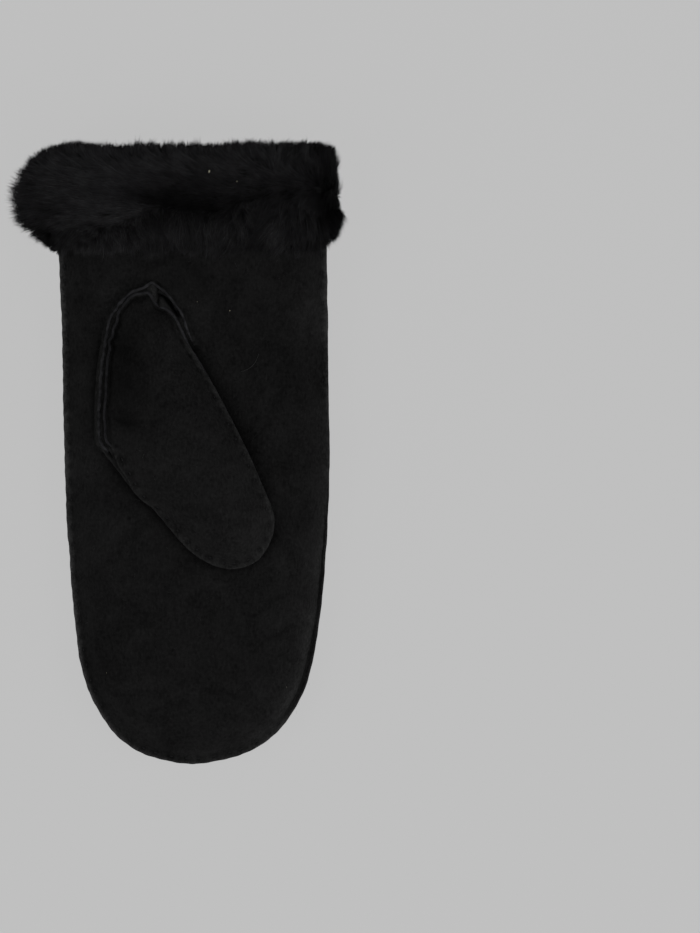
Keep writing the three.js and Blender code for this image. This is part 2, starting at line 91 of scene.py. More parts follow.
def evened(values, rounds=1):
    """A run of values, each one drawn towards its neighbours."""
    values = values.copy()
    for _ in range(rounds):
        values[1:-1] = (values[:-2] + 2 * values[1:-1] + values[2:]) / 4
    return values


def flowing_line(points, closed=False, steps=LINE_STEPS):
    """A smooth line through points, with the same number of steps in each span."""
    p = np.array(points, float)
    ends = (p[-1:], p[:2]) if closed else (2 * p[:1] - p[1:2], 2 * p[-1:] - p[-2:-1])
    p = np.vstack([ends[0], p, ends[1]])
    line = []
    for a, b, c, d in zip(p, p[1:], p[2:], p[3:]):
        k = np.cumsum([0] + [np.linalg.norm(v) ** 0.5 for v in (b - a, c - b, d - c)])
        t = np.linspace(k[1], k[2], steps, endpoint=False)[:, None]
        ab = (a * (k[1] - t) + b * (t - k[0])) / (k[1] - k[0])
        bc = (b * (k[2] - t) + c * (t - k[1])) / (k[2] - k[1])
        cd = (c * (k[3] - t) + d * (t - k[2])) / (k[3] - k[2])
        abc = (ab * (k[2] - t) + bc * (t - k[0])) / (k[2] - k[0])
        bcd = (bc * (k[3] - t) + cd * (t - k[1])) / (k[3] - k[1])
        line.append((abc * (k[2] - t) + bcd * (t - k[1])) / (k[2] - k[1]))
    return np.vstack(line + [p[-2:-1]])


def evenly(line, count):
    """count + 1 points spaced evenly along a line, and each one's distance from its end."""
    run = np.concatenate([[0], np.cumsum(np.linalg.norm(np.diff(line, axis=0), axis=1))])
    at = np.linspace(0, run[-1], count + 1)
    points = np.column_stack([np.interp(at, run, line[:, k]) for k in range(line.shape[1])])
    return points, run[-1] - at


def hand_sides(count, mouth=MOUTH_Y):
    """The left and right edges from the mouth to the fingertip."""
    rows = [(min(y, mouth), left, right) for y, left, right in HAND_ROWS]
    outline = [(left, y) for y, left, _ in rows] + [FINGERTIP] + [(right, y) for y, _, right in rows[::-1]]
    line = flowing_line(outline)
    middle = len(rows) * LINE_STEPS
    return evenly(line[: middle + 1], count), evenly(line[middle:][::-1], count)


def hand_spine(left, right):
    """The line down the middle of the hand, as far as the centre of the fingertips' rounding."""
    middle = np.maximum((left[:, 1] + right[:, 1]) / 2, TIP_CENTRE[1])
    return np.column_stack([np.full(len(left), TIP_CENTRE[0]), middle])


def seam_z(x, y):
    return SEAM_HEIGHT + CUFF_LIFT * smooth(y, 34, 84)


def palm_rise(x, y):
    return (BODY_THICKNESS - SEAM_HEIGHT - HALF_GAP - LEATHER) * (1 - 0.16 * smooth(-y, 10, 120))


def palm_top(x, y):
    """The height of the palm's leather, before its dents."""
    ys, lefts, rights = as_columns(HAND_ROWS[::-1])
    inward = np.minimum(x - np.interp(y, ys, lefts), np.interp(y, ys, rights) - x) - FLANGE
    return seam_z(x, y) + HALF_GAP + LEATHER + palm_rise(x, y) * dome(inward / SIDE_ROUNDING)


def to_spine(edge, spine):
    """How far it is from each station of an edge to the spine, as a column."""
    return np.linalg.norm(spine - edge, axis=1)[:, None]


def half_panel(edge, spine, profile, ground, rise):
    """Points of one side of a panel, a row for each station and a column for each place of its profile.
    The profile holds distances in from the edge, heights over the ground, and shares of the rise."""
    inward, up, swell = profile
    share = np.clip(inward / to_spine(edge, spine), 0, 1)[..., None]
    place = edge[:, None] * (1 - share) + spine[:, None] * share
    x, y = place[..., 0], place[..., 1]
    return np.dstack([place, ground(x, y) + up + swell * rise(x, y)])


def both_sides(left, right):
    """A panel's left side and its right one as one grid, joined along the spine."""
    return np.concatenate([left, right[:, -2::-1]], axis=1)


def normals_of(points):
    """Unit normals of a grid of points, pointing up for rows that run down the mitten."""
    down, across = np.gradient(points, axis=0), np.gradient(points, axis=1)
    normal = np.cross(down, across)
    normal /= np.maximum(np.linalg.norm(normal, axis=2, keepdims=True), 1e-9)
    # the left and right halves of the last row lie on each other
    meet = np.linalg.norm(points - points[:, ::-1], axis=2, keepdims=True) < 1e-6
    return np.where(meet, (normal + normal[:, ::-1]) / 2, normal)


def soft_noise(points, size, seed):
    """Smooth noise from -1 to 1 at each point, with features of about that size in millimetres."""
    flat = points.reshape(-1, 3)
    values = [noise.noise(Vector(p / size) + Vector((seed, 2.7 * seed, -seed))) for p in flat]
    return np.array(values).reshape(points.shape[:-1])


def mesh_piece(name, verts, faces, materials, merge=0.0, **floats):
    """An object from points in millimetres with a float attribute for each array. Where its doubles are merged,
    points that no face uses go too."""
    mesh = bpy.data.meshes.new(name)
    mesh.from_pydata((np.asarray(verts) * MM).tolist(), [], faces)
    for key, values in floats.items():
        made = mesh.attributes.new(key, "FLOAT", "POINT")
        made.data.foreach_set("value", np.ravel(values).astype(np.float32))
    if merge:
        work = bmesh.new()
        work.from_mesh(mesh)
        bmesh.ops.remove_doubles(work, verts=work.verts, dist=merge * MM)
        bmesh.ops.dissolve_degenerate(work, edges=work.edges, dist=1e-6)
        bmesh.ops.delete(work, geom=[vert for vert in work.verts if not vert.link_faces], context="VERTS")
        bmesh.ops.recalc_face_normals(work, faces=work.faces)
        work.to_mesh(mesh)
        work.free()
    for material in materials:
        mesh.materials.append(material)
    mesh.shade_smooth()
    piece = bpy.data.objects.new(name, mesh)
    bpy.context.scene.collection.objects.link(piece)
    return piece


def grid_faces(rows, columns, ring=False):
    return [
        (r * columns + c, r * columns + (c + 1) % columns,
         (r + 1) * columns + (c + 1) % columns, (r + 1) * columns + c)
        for r in range(rows - 1)
        for c in range(columns if ring else columns - 1)
    ]


def vertex_values(mesh, key="co"):
    """The places of a mesh's vertices, or their normals."""
    values = np.empty(len(mesh.vertices) * 3)
    mesh.vertices.foreach_get(key, values)
    return values.reshape(-1, 3)


def settle(piece):
    """Turns a piece with its modifiers into a plain mesh."""
    made = bpy.data.meshes.new_from_object(piece.evaluated_get(bpy.context.evaluated_depsgraph_get()))
    piece.modifiers.clear()
    old, piece.data = piece.data, made
    made.name = piece.name
    bpy.data.meshes.remove(old)
    return piece


def relax(piece, rounds):
    """Evens out a surface where its attribute free is above 0, as skin does by itself."""
    mesh = piece.data
    co = vertex_values(mesh)
    pairs = np.empty(len(mesh.edges) * 2, int)
    mesh.edges.foreach_get("vertices", pairs)
    a, b = pairs.reshape(-1, 2).T
    free = np.empty(len(co))
    mesh.attributes["free"].data.foreach_get("value", free)
    count = np.bincount(np.concatenate([a, b]), minlength=len(co))[:, None]
    for _ in range(rounds):
        total = np.zeros_like(co)
        np.add.at(total, a, co[b])
        np.add.at(total, b, co[a])
        co += 0.6 * free[:, None] * (total / np.maximum(count, 1) - co)
    mesh.vertices.foreach_set("co", co.ravel())
    mesh.attributes.remove(mesh.attributes["free"])


def leather(name, grid, thickness=LEATHER, keep=None, full=None, free=None, **floats):
    """A piece of skin: a grid of points given its thickness, with the raw edge as its rim. Where it is pared
    thin, full holds the share of the thickness that is left."""
    rows, columns = grid.shape[:2]
    faces = grid_faces(rows, columns)
    flat = grid.reshape(-1, 3)
    if keep is not None:
        faces = [f for f in faces if keep(flat[list(f)].mean(axis=0))]
    if full is not None:
        floats["full"] = full
    if free is not None:
        floats["free"] = free
    piece = mesh_piece(name, flat, faces, [SUEDE, RAW_EDGE], merge=0.02, **floats)
    if free is not None:
        relax(piece, RELAX_ROUNDS)
    skin = piece.modifiers.new("thickness", "SOLIDIFY")
    skin.thickness = thickness * MM
    skin.offset = 0
    skin.material_offset_rim = 1
    if full is not None:
        group = piece.vertex_groups.new(name="full")
        for i, value in enumerate(piece.data.attributes["full"].data):
            group.add([i], value.value, "REPLACE")
        skin.vertex_group = "full"
    return settle(piece)


# The nap of brushed suede, its raw edge and its colour.
def fill(tree, node, inputs):
    """Sets each input of a node to a constant, or links it to another node's result."""
    for key, value in inputs.items():
        if isinstance(value, bpy.types.NodeSocket):
            tree.links.new(value, node.inputs[key])
        else:
            node.inputs[key].default_value = value


def add_node(tree, kind, inputs=None, **settings):
    node = tree.nodes.new(kind)
    for key, value in settings.items():
        setattr(node, key, value)
    fill(tree, node, inputs or {})
    return node


def maths(tree, operation, *values, clamp=False):
    inputs = dict(enumerate(values))
    return add_node(tree, "ShaderNodeMath", inputs, operation=operation, use_clamp=clamp).outputs[0]


def scaled_by(tree, vector, factor):
    node = add_node(tree, "ShaderNodeVectorMath", operation="SCALE")
    fill(tree, node, {0: vector, "Scale": factor})
    return node.outputs[0]


def between(tree, low, high, share):
    """A value that runs from low to high with a share, or a colour where the two are colours."""
    if isinstance(low, tuple):
        ends = {"Factor": share, "A": (*low, 1), "B": (*high, 1)}
        return add_node(tree, "ShaderNodeMix", ends, data_type="RGBA").outputs["Result"]
    return add_node(tree, "ShaderNodeMapRange", {"Value": share, "To Min": low, "To Max": high}).outputs[0]


def relief(tree, height, strength, distance):
    inputs = {"Height": height, "Strength": strength, "Distance": distance}
    return add_node(tree, "ShaderNodeBump", inputs).outputs[0]


def grain_noise(tree, scale, detail=2.0, rough=0.5, distort=0.0, stretch=(1, 1, 1)):
    """Noise in the piece's own frame, with about as many features to the metre as its scale."""
    place = add_node(tree, "ShaderNodeTexCoord").outputs["Object"]
    mapped = add_node(tree, "ShaderNodeMapping", {"Vector": place, "Scale": stretch}).outputs[0]
    inputs = {"Vector": mapped, "Scale": scale, "Detail": detail, "Roughness": rough, "Distortion": distort}
    return add_node(tree, "ShaderNodeTexNoise", inputs).outputs["Fac"]


def new_material(name):
    """A material, its node tree and its shader."""
    material = bpy.data.materials.new(name)
    material.use_nodes = True
    return material, material.node_tree, material.node_tree.nodes["Principled BSDF"]


def nap_group():
    """Mottling of a nap after brushing. Shade goes from 0, where it lies dark, to 1, where it lies light."""
    group = bpy.data.node_groups.new("brushed_nap", "ShaderNodeTree")
    for name, way in (("Grain", "INPUT"), ("Shade", "OUTPUT"), ("Height", "OUTPUT")):
        group.interface.new_socket(name, in_out=way, socket_type="NodeSocketFloat")
    cloud = grain_noise(group, 1000 / 22, 3, 0.6, 1.2)
    grain = grain_noise(group, 1000 / 1.4, 3, 0.7, 0.3)
    fibre = grain_noise(group, 1000 / 0.9, 2, 0.6, stretch=(1, 0.35, 1))
    fine = maths(group, "ADD", maths(group, "MULTIPLY", grain, 0.6), maths(group, "MULTIPLY", fibre, 0.4))
    share = add_node(group, "NodeGroupInput").outputs["Grain"]
    shade = add_node(group, "ShaderNodeMix", {"Factor": share, "A": cloud, "B": fine}).outputs[0]
    add_node(group, "NodeGroupOutput", {"Shade": shade, "Height": fine})
    return group


NAP = nap_group()


def nap_material(name, dark, light, roughness, grain, bump):
    """Leather whose colour runs from dark to light with its nap, and is scaled by its painted marks: the nap
    stroked lighter or darker, worn raw edges, painted light and painted shade.
    """
    material, tree, shader = new_material(name)
    nap = add_node(tree, "ShaderNodeGroup", {"Grain": grain}, node_tree=NAP).outputs
    spread = {"Value": nap["Shade"], "From Min": 0.37, "From Max": 0.63}
    share = add_node(tree, "ShaderNodeMapRange", spread).outputs[0]
    marks = add_node(tree, "ShaderNodeAttribute", attribute_name="brushed").outputs["Fac"]
    fill(tree, shader, {
        "Base Color": scaled_by(tree, between(tree, dark, light, share), maths(tree, "ADD", marks, 1.0)),
        "Roughness": between(tree, roughness - 0.06, roughness + 0.04, nap["Height"]),
        "Normal": relief(tree, nap["Height"], bump, 0.0004),
        "Specular IOR Level": 0.03,
    })
    return material


SUEDE = nap_material("suede", (0.0025, 0.0025, 0.0025), (0.0095, 0.0095, 0.0095), 0.92, 0.68, 1.0)
RAW_EDGE = nap_material("raw_edge", (0.0075, 0.0075, 0.0079), (0.0150, 0.0150, 0.0163), 0.9, 0.8, 0.8)

# Painted patches, x, y, radius and how much: some where a hand has stroked the nap lighter or darker, others
# painted light on the thumb's right side, its tip and the rolled lower right edge, and painted shade beside the
# thumb and on its left side
NAP_AND_LIGHT_MARKS = [
    (31, -40, 12, 0.2), (24, -26, 14, 0.15), (-23, 44, 10, -0.52), (-24, 28, 9, -0.42), (-14, 58, 9, -0.05),
    (-22, 14, 5, -0.25), (6, 10, 14, 0.12), (-5, -8, 12, 0.1), (56, -78, 12, 0.24), (58, -50, 10, 0.25),
    (46, -104, 12, 0.2), (-38, -60, 14, 0.03), (10, -80, 24, -0.04), (48, 70, 16, -0.14),
    (-42, 60, 10, -0.06), (-3, 46, 9, 0.32), (4, 34, 9, 0.38), (13, 19, 9, 0.28), (21, 5, 9, 0.3),
    (29, -10, 9, 0.45), (35, -25, 9, 0.4), (33, -40, 9, 0.3), (-11.5, 66, 3, 0.3), (54, 40, 14, -0.1),
    (-20, 74, 14, -0.1), (-42, 0, 10, 0.2), (-38, -8, 9, 0.1), (-46, 30, 8, 0.15), (-50, 76, 6, 0.3),
    (8, -38, 9, 0.2), (24, -46, 6, 0.15), (16, 72, 12, -0.14), (0, 80, 12, -0.2), (36, 57, 13, -0.24),
    (-11, -46, 8, -0.1), (-23, -84, 10, -0.09), (-3, -96, 9, -0.08), (21, -75, 8, -0.08),
    (36, -96, 9, -0.2), (-6, -127, 9, -0.08), (24, -127, 9, -0.08), (24, -60, 7, 0.08), (-9, 60, 6, 0.15),
    (43, -38, 7, -0.15), (12, -63, 6, 0.1), (-15, -86, 6, 0.12), (-29.5, 0.8, 2.2, 0.5), (-2, 75, 6, -0.12),
    (11, 45, 6, -0.12), (-47, -30, 12, 0.1), (58, 60, 14, 0.42), (-40, -96, 12, -0.25),
    (-15, -129, 9, -0.14),
]


def brushed(points, inward=None, edge=0.0):
    """How much lighter each point is painted: for the nap stroked lighter or darker, for painted light and
    painted shade, and for the worn outermost part of a raw edge.
    """
    total = np.zeros(points.shape[:-1])
    for x, y, radius, amount in NAP_AND_LIGHT_MARKS:
        total += amount * bell(np.hypot(points[..., 0] - x, points[..., 1] - y) / radius)
    if inward is not None:
        worn = 0.45 + 0.5 * soft_noise(points, 3, 51)
        total += np.clip(worn, 0, 1) * smooth(edge - inward, -0.2, 0.5)
    return total


def stitch_count(along):
    """The stitches up to a place on the seam. They are sewn by eye, so they aren't quite even."""
    return along / STITCH_PITCH + 0.1 * np.sin(0.31 * along) + 0.05 * np.sin(0.83 * along)


def needle_holes(along, inward):
    """1 at each stitch of the seam, falling to 0 round it."""
    away = (stitch_count(along) % 1 - 0.5) * STITCH_PITCH
    return np.exp(-((away / HOLE_LENGTH) ** 2) - ((inward - STITCH_IN) / HOLE_WIDTH) ** 2)


def seam_pull(along, inward, points, seed):
    """How the running stitches draw the leather in: pits at the stitches and puckers between them."""
    beat = np.cos(2 * np.pi * stitch_count(along))
    drift = 1 + 0.7 * soft_noise(points, 11, seed)
    return PUCKER * beat * drift * bell(inward - STITCH_IN, 2.6) - PIT * needle_holes(along, inward)


def scallop(points, edge, spine, run, moved, size, seed, share):
    """Moves a raw edge in and out a little, with its stitches and by slow noise of a size."""
    way = moved[0] * np.cos(2 * np.pi * stitch_count(run))
    way = way + moved[1] * soft_noise(points[:, :1], size, seed)[:, 0]
    out = (edge - spine) / to_spine(edge, spine)
    points[..., :2] += (out * way[:, None])[:, None] * share[..., None]


def hand_panel(up, rise, rows):
    """The palm's grid of points where up is 1, the back's where it is -1, and each point's distances in from
    the edge and along the seam."""
    halves = hand_sides(rows)
    spine = hand_spine(halves[0][0], halves[1][0])
    level = up * (HALF_GAP + LEATHER / 2)
    rounding = FLANGE + np.linspace(0, 1, 22) ** 1.8 * SIDE_ROUNDING
    outer = np.concatenate([np.linspace(0, FLANGE, 7)[:-1], rounding])
    sides = []
    for edge, run in halves:
        reach = to_spine(edge, spine)
        inner = FLANGE + SIDE_ROUNDING + np.linspace(0, 1, 14)[1:] * (reach - FLANGE - SIDE_ROUNDING)
        inward = np.hstack([np.tile(outer, (len(edge), 1)), inner])
        swell = up * dome((inward - FLANGE) / SIDE_ROUNDING) * (inward >= FLANGE)
        crown = (PALM_CROWN if up > 0 else 0) * smooth(inward, FLANGE + SIDE_ROUNDING, reach)
        points = half_panel(edge, spine, (inward, level + crown, swell), seam_z, rise)
        # the raw edge is scalloped, stands in and out a little, lies in slow waves and droops at the right
        scallop(points, edge, spine, run, moved=(0.05, 0.26), size=9, seed=3,
                share=smooth(FLANGE - inward, 0, FLANGE))
        wave = 0.5 * soft_noise(points[:, :1] * (1, 1, 0), 26, 5)
        droop = 2.4 * smooth(-points[:, :1, 1], 5, 50) * smooth(points[:, :1, 0], 20, 50)
        points[..., 2] += (wave - droop) * smooth(FLANGE + 1.5 - inward, 0, FLANGE)
        sides.append((points, inward, np.tile(run[:, None], (1, inward.shape[1]))))
    grid, inward, along = (both_sides(a, b) for a, b in zip(*sides))
    upright = np.zeros_like(grid)
    upright[..., 2] = 1
    way = np.where((inward < FLANGE + 0.3)[..., None], upright, normals_of(grid) * up)
    return grid + way * seam_pull(along, inward, grid, 2)[..., None], inward, along


def dents(points, inward, seed, depth=0.55):
    """Slow dents of lined skin, away from the seam."""
    away = smooth(inward, FLANGE + 1, FLANGE + 12)
    return away * (depth * soft_noise(points, 34, seed) + 0.22 * soft_noise(points, 13, seed + 4))


# The thumb's edge, from the top of its base down the left side, round its tip and back up the right side
THUMB_EDGE = [
    (-12.8, 74.4), (-26, 67.3), (-32.7, 55.9), (-35.2, 39), (-36.7, 19), (-34.6, 3.2), (-25.2, -10.4),
    (-17.5, -20.1), (-11.7, -24.6), (-7.6, -29.3), (6.6, -44.8), (21.6, -51.2), (34.1, -47.3), (41.4, -32),
    (34.6, -10.8), (16.1, 26.8), (4.3, 46.9), (-1.8, 63.8), (-5.8, 70.3),
]
THUMB_TIP_POINT = 11
BASE_SEAM = (0.525, 0.25)  # where the turned-up base seam ends on the left and right, as shares of each side
UNDERSIDE = (0.508, 0.25)  # where the thumb's back begins on them
# The two raw edges of the base seam, from its left end over the top to its right end
PALM_LIP = [
    (-29.4, -2.6), (-31.4, 0.6), (-33.6, 2.7), (-34.9, 5), (-35.2, 11.9), (-35.2, 20.7), (-34.5, 32.5),
    (-33.9, 38.4), (-33, 44.3), (-32.2, 48.4), (-31.2, 54.2), (-29.7, 58.9), (-27, 63), (-24.1, 66.5),
    (-20.6, 69.4), (-17.7, 70.7), (-14.7, 71.8), (-12.1, 73.6), (-10, 72.4), (-7.7, 70.7), (-5.4, 68.9),
    (-3.6, 66.5), (-1.2, 63.6), (1.1, 60.1), (2.9, 54.9), (4.6, 50), (6.2, 46.4),
]
THUMB_LIP = [
    (-20.6, -14.2), (-23.6, -10.7), (-26.2, -6.6), (-28, -3), (-28.3, -0.3), (-29.2, 2), (-31.2, 3.5),
    (-32.4, 6.6), (-32.4, 10.4), (-33, 15.6), (-32.8, 19.5), (-32.2, 24.3), (-32.2, 29.6), (-31.9, 35.1),
    (-31.3, 42), (-30.3, 45.5), (-31, 48.6), (-29.3, 50.1), (-28.9, 53.7), (-27.2, 56.7), (-26.6, 60.7),
    (-24.5, 63.6), (-21.9, 66.7), (-19, 68.7), (-16.2, 69), (-13.6, 69.4), (-12, 67.6), (-10.8, 65.2),
    (-8.4, 63.4), (-5.8, 62.4), (-3.8, 60.8), (-1.8, 58.4), (1.2, 52.4), (3.4, 48.2), (6.1, 43.8),
    (9.2, 38.4),
]


def thumb_sides(count, starts=(0.0, 0.0)):
    """The left and right edges of the thumb from those shares of each side to its tip."""
    line = flowing_line(THUMB_EDGE, closed=True)[: len(THUMB_EDGE) * LINE_STEPS + 1]
    middle = THUMB_TIP_POINT * LINE_STEPS
    halves = []
    for side, start in ((line[: middle + 1], starts[0]), (line[middle:][::-1], starts[1])):
        fine, _ = evenly(side, FINE_STEPS)
        halves.append(evenly(fine[round(start * FINE_STEPS):], count))
    return halves


def base_seam_line(count):
    """The base seam from the end of its left side over the top to the end of its right side, and the
    direction inwards."""
    (left, _), (right, _) = thumb_sides(FINE_STEPS)
    ends = [round(share * FINE_STEPS) + 1 for share in BASE_SEAM]
    points, _ = evenly(np.vstack([left[: ends[0]][::-1], right[1 : ends[1]]]), count)
    ahead = np.gradient(points, axis=0)
    ahead /= np.linalg.norm(ahead, axis=1, keepdims=True)
    return points, np.column_stack([ahead[:, 1], -ahead[:, 0]])


def inside(outline):
    """A test of whether a point lies in a closed outline, seen from above."""
    ax, ay = outline[:, 0], outline[:, 1]
    bx, by = np.roll(ax, -1), np.roll(ay, -1)

    def test(point):
        crosses = (ay > point[1]) != (by > point[1])
        with np.errstate(divide="ignore", invalid="ignore"):
            at = ax + (point[1] - ay) / (by - ay) * (bx - ax)
        return np.count_nonzero(crosses & (point[0] < at)) % 2 == 1

    return test


def thumb_shade(points):
    """The dark that gathers on the palm under the thumb's overhanging edges."""
    (left, _), (right, _) = thumb_sides(120)
    outline = np.vstack([left, right[-2:0:-1]])
    is_under = inside(outline)
    shade = np.zeros(points.shape[:-1])
    for index in np.ndindex(shade.shape):
        x, y, _ = points[index]
        if -50 < x < 62 and -72 < y < 60:  # there is none further off
            away = np.hypot(outline[:, 0] - x, outline[:, 1] - y)
            nearest = away.argmin()
            deep = 0.62 * smooth(-outline[nearest, 1], -60, -42)
            away = 0 if is_under((x, y)) else away[nearest]
            shade[index] = deep * (0.8 * bell(away, 1.9) + 0.2 * bell(away, 6))
    return shade


seam_line, seam_inward = base_seam_line(60)
in_thumb_hole = inside(seam_line + 5 * seam_inward)
palm_grid, palm_in, palm_run = hand_panel(1, palm_rise, rows=400)
palm_grid = palm_grid + normals_of(palm_grid) * dents(palm_grid, palm_in, 7)[..., None]
palm_x, palm_y = palm_grid[..., 0], palm_grid[..., 1]
palm_holes = needle_holes(palm_run, palm_in)
# from the middle of the right edge down to the fingertips the seam hangs over: painted shade over it, and a
# painted highlight on the rolled edge just inside
hanging = smooth(palm_x, 20, 32) * smooth(-palm_y, -30, -12) * smooth(palm_y, -122, -108)
from_fold = palm_in - 0.5 - 1.9 * smooth(-palm_y, 16, 55) - 0.8 * smooth(-palm_y, 40, 100)
fold_shade_and_highlight = np.where(from_fold < 0, -0.72, 0.5 * bell(from_fold - 1.2, 1.6) + 0.3 * np.exp(-from_fold / 9))
# elsewhere the worn edges of the two skins show light, widest on the left
worn_wide = np.where(hanging > 0.5, 0.7, 1.3 + 0.75 * smooth(palm_y, -120, -50))
worn = 0.5 + (1.3 + 1.2 * smooth(-palm_x, -5, 15)) * smooth(palm_y, -145, -112)
worn = worn * (1 - 0.5 * hanging) * bell(palm_in, worn_wide)
worn *= (1 + 0.4 * soft_noise(palm_grid, 2.2, 45)) * (1 - 0.6 * palm_holes)
palm = leather(
    "palm_suede", palm_grid, keep=lambda place: not in_thumb_hole(place),
    free=smooth(palm_in, 6, 16) + 0.5 * bell(palm_in - FLANGE - 1, 1.3),
    # painted shade in the needle holes' pits and under the thumb, and painted shade and highlight where the
    # seam hangs over
    brushed=brushed(palm_grid, palm_in, 0.9) - 0.5 * palm_holes * (1 - hanging) - thumb_shade(palm_grid)
    + worn + hanging * fold_shade_and_highlight
    # painted light along both sides, more on the right, and on the rolled lower right edge, where the side
    # lights fall
    + (0.16 + 0.2 * (palm_x > 0)) * bell(palm_in, 8)
    + 0.3 * smooth(palm_x, 20, 35) * smooth(-palm_y, 50, 90) * bell(palm_in - 5, 4),
)
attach(palm, "root")
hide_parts("palm_panel")


# 2. Back
# The same skin, cut to the same outline for the back of the hand. The mitten lies on it, so it is flat in
# the middle, and it is sewn to the palm all round except at the mouth.
def back_rise(x, y):
    return np.full_like(x, SEAM_HEIGHT - HALF_GAP - LEATHER)


back_grid, back_in, back_run = hand_panel(-1, back_rise, rows=240)
back_grid = back_grid + normals_of(back_grid) * dents(back_grid, back_in, 12, 0.45)[..., None]
back_grid[..., 2] = np.maximum(back_grid[..., 2], LEATHER / 2)
back = leather("back_suede", back_grid, free=smooth(back_in, 6, 16),
               brushed=0.5 * brushed(back_grid, back_in, 0.9))
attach(back, "root")
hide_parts("back_panel")


# 3. Thumb
# A pouch of two cuts of the same skin. It stands on the palm's hole with both raw edges turned up there, and
# lies folded over the palm. The rest of its edge is a flange, as round the hand.
THUMB_FLANGE = 3.8
LIP_HEIGHT = 2.8
LIP_STEPS = 420
LIP_SEARCH = -0.5, 13  # how far in from an edge the thumb's lip is looked for
THUMB_REST = 1.3
THUMB_HANG = 5.9
THUMB_RISE, THUMB_DEPTH = 12.5, 3.6  # how far its two cuts bulge from its seam
THUMB_LEVEL = (LEATHER + 2 * HALF_GAP) / 2
SPINE_TOP, SPINE_TIP = np.array((-15.0, 50.0)), np.array((21.0, -31.0))


def along_thumb(x, y):
    """0 at the top of the thumb's spine and 1 at its tip end."""
    run = SPINE_TIP - SPINE_TOP
    return ((x - SPINE_TOP[0]) * run[0] + (y - SPINE_TOP[1]) * run[1]) / (run @ run)


def thumb_spine(left, right):
    middle = (left + right) / 2
    share = np.clip(along_thumb(middle[:, 0], middle[:, 1]), 0, 1)[:, None]
    return SPINE_TOP * (1 - share) + SPINE_TIP * share


def thumb_seam_z(x, y):
    turn = smooth(along_thumb(x, y) + (x - SPINE_TOP[0]) * 0.006, -0.1, 0.55)
    return palm_top(x, y) + THUMB_REST + (THUMB_HANG - THUMB_REST) * turn


def thumb_crease(x, y):
    """A crease that runs into the thumb where its seam turns over: its soft hollow and its sharp line."""
    start, run = np.array((-26.6, 13.9)), np.array((13.6, 0.6))
    share = np.clip(((x - start[0]) * run[0] + (y - start[1]) * run[1]) / (run @ run), 0, 1)
    away = np.hypot(x - start[0] - share * run[0], y - start[1] - share * run[1] + 9 * share * (1 - share))
    return 2.0 * (1 - share / 2) * bell(away, 4), 0.8 * (1 - share) * bell(away, 1.1)


def thumb_rise(x, y):
    return THUMB_RISE * (0.66 + 0.34 * smooth(along_thumb(x, y), -0.2, 0.5)) - sum(thumb_crease(x, y))


def thumb_depth(x, y):
    return THUMB_DEPTH * (0.3 + 0.7 * smooth(along_thumb(x, y), 0.2, 0.7))


def lip_wave(points, seed):
    """The raw edges of the base seam wander up and down."""
    return 0.34 * soft_noise(points, 3.4, seed) + 0.5 * soft_noise(points, 8.5, seed + 2)


def reach_to(line, edge, spine):
    """How far in from the edge, on the way to the spine, a line is met at each station, or 0."""
    way = (spine - edge) / to_spine(edge, spine)
    a, step = line[:-1], np.diff(line, axis=0)
    cross = way[:, None, 0] * step[None, :, 1] - way[:, None, 1] * step[None, :, 0]
    gap = a[None] - edge[:, None]
    along = (gap[..., 0] * step[None, :, 1] - gap[..., 1] * step[None, :, 0]) / cross
    share = (gap[..., 0] * way[:, None, 1] - gap[..., 1] * way[:, None, 0]) / cross
    met = (share >= 0) & (share <= 1) & (along > LIP_SEARCH[0]) & (along < LIP_SEARCH[1])
    return np.where(met.any(axis=1), np.maximum(np.min(np.where(met, along, np.inf), axis=1), 0), 0)


def thumb_front_side(edge, run, spine, end, ease):
    """One side of the thumb's front. Along the base seam, which eases off before its end, the raw edge is
    turned up, and from there on it is a flange."""
    base = 1 - smooth(np.linspace(0, 1, len(edge))[:, None], end - ease, end)
    start = evened(reach_to(flowing_line(THUMB_LIP, steps=12), edge, spine), 3)
    for _ in range(21):
        start = start + (evened(start) - start) * (1 - base[:, 0])
    start = start[:, None]
    reach = to_spine(edge, spine)
    rim, body = np.linspace(0, 1, 8) + 0 * reach, np.linspace(0, 1, 24)[1:] ** 1.5 + 0 * reach
    flange = np.maximum(start + 1.6, THUMB_FLANGE)
    flat = (
        np.hstack([start + (flange - start) * rim, flange + body * (reach - flange)]),
        np.hstack([THUMB_LEVEL + 0 * rim, THUMB_LEVEL + 0 * body]),
        np.hstack([0 * rim, 1 - (1 - body) ** 2.2]),
    )
    turn, bend = rim * np.pi / 2, 1.3
    top, foot = LIP_HEIGHT - THUMB_REST, THUMB_LEVEL + HALF_GAP - THUMB_REST + 0.6
    turned_up = (
        np.hstack([start + bend * (1 - np.cos(turn)), start + bend + body * (reach - start - bend)]),
        np.hstack([top - (top - foot) * np.sin(turn), foot + (THUMB_LEVEL - foot) * body]),
        np.hstack([0 * rim, np.sin(body * np.pi / 2)]),
    )
    profile = [a + (b - a) * base for a, b in zip(flat, turned_up)]
    points = half_panel(edge, spine, profile, thumb_seam_z, thumb_rise)
    fade = np.hstack([(1 - rim) ** 1.3, 0 * body])
    points[..., 2] += lip_wave(points[:, :1], 21) * fade * base
    scallop(points, edge, spine, run, moved=(0.07, 0.16), size=8, seed=17, share=fade * (1 - base))
    inward, from_edge = profile[0], profile[0] - start
    along = run[:, None] + 0 * inward
    pull = seam_pull(along, from_edge, points, 9) * (1 - base)
    holes = needle_holes(along, from_edge) * (1 - base)
    return points, pull, inward, from_edge, holes, along, base + 0 * inward


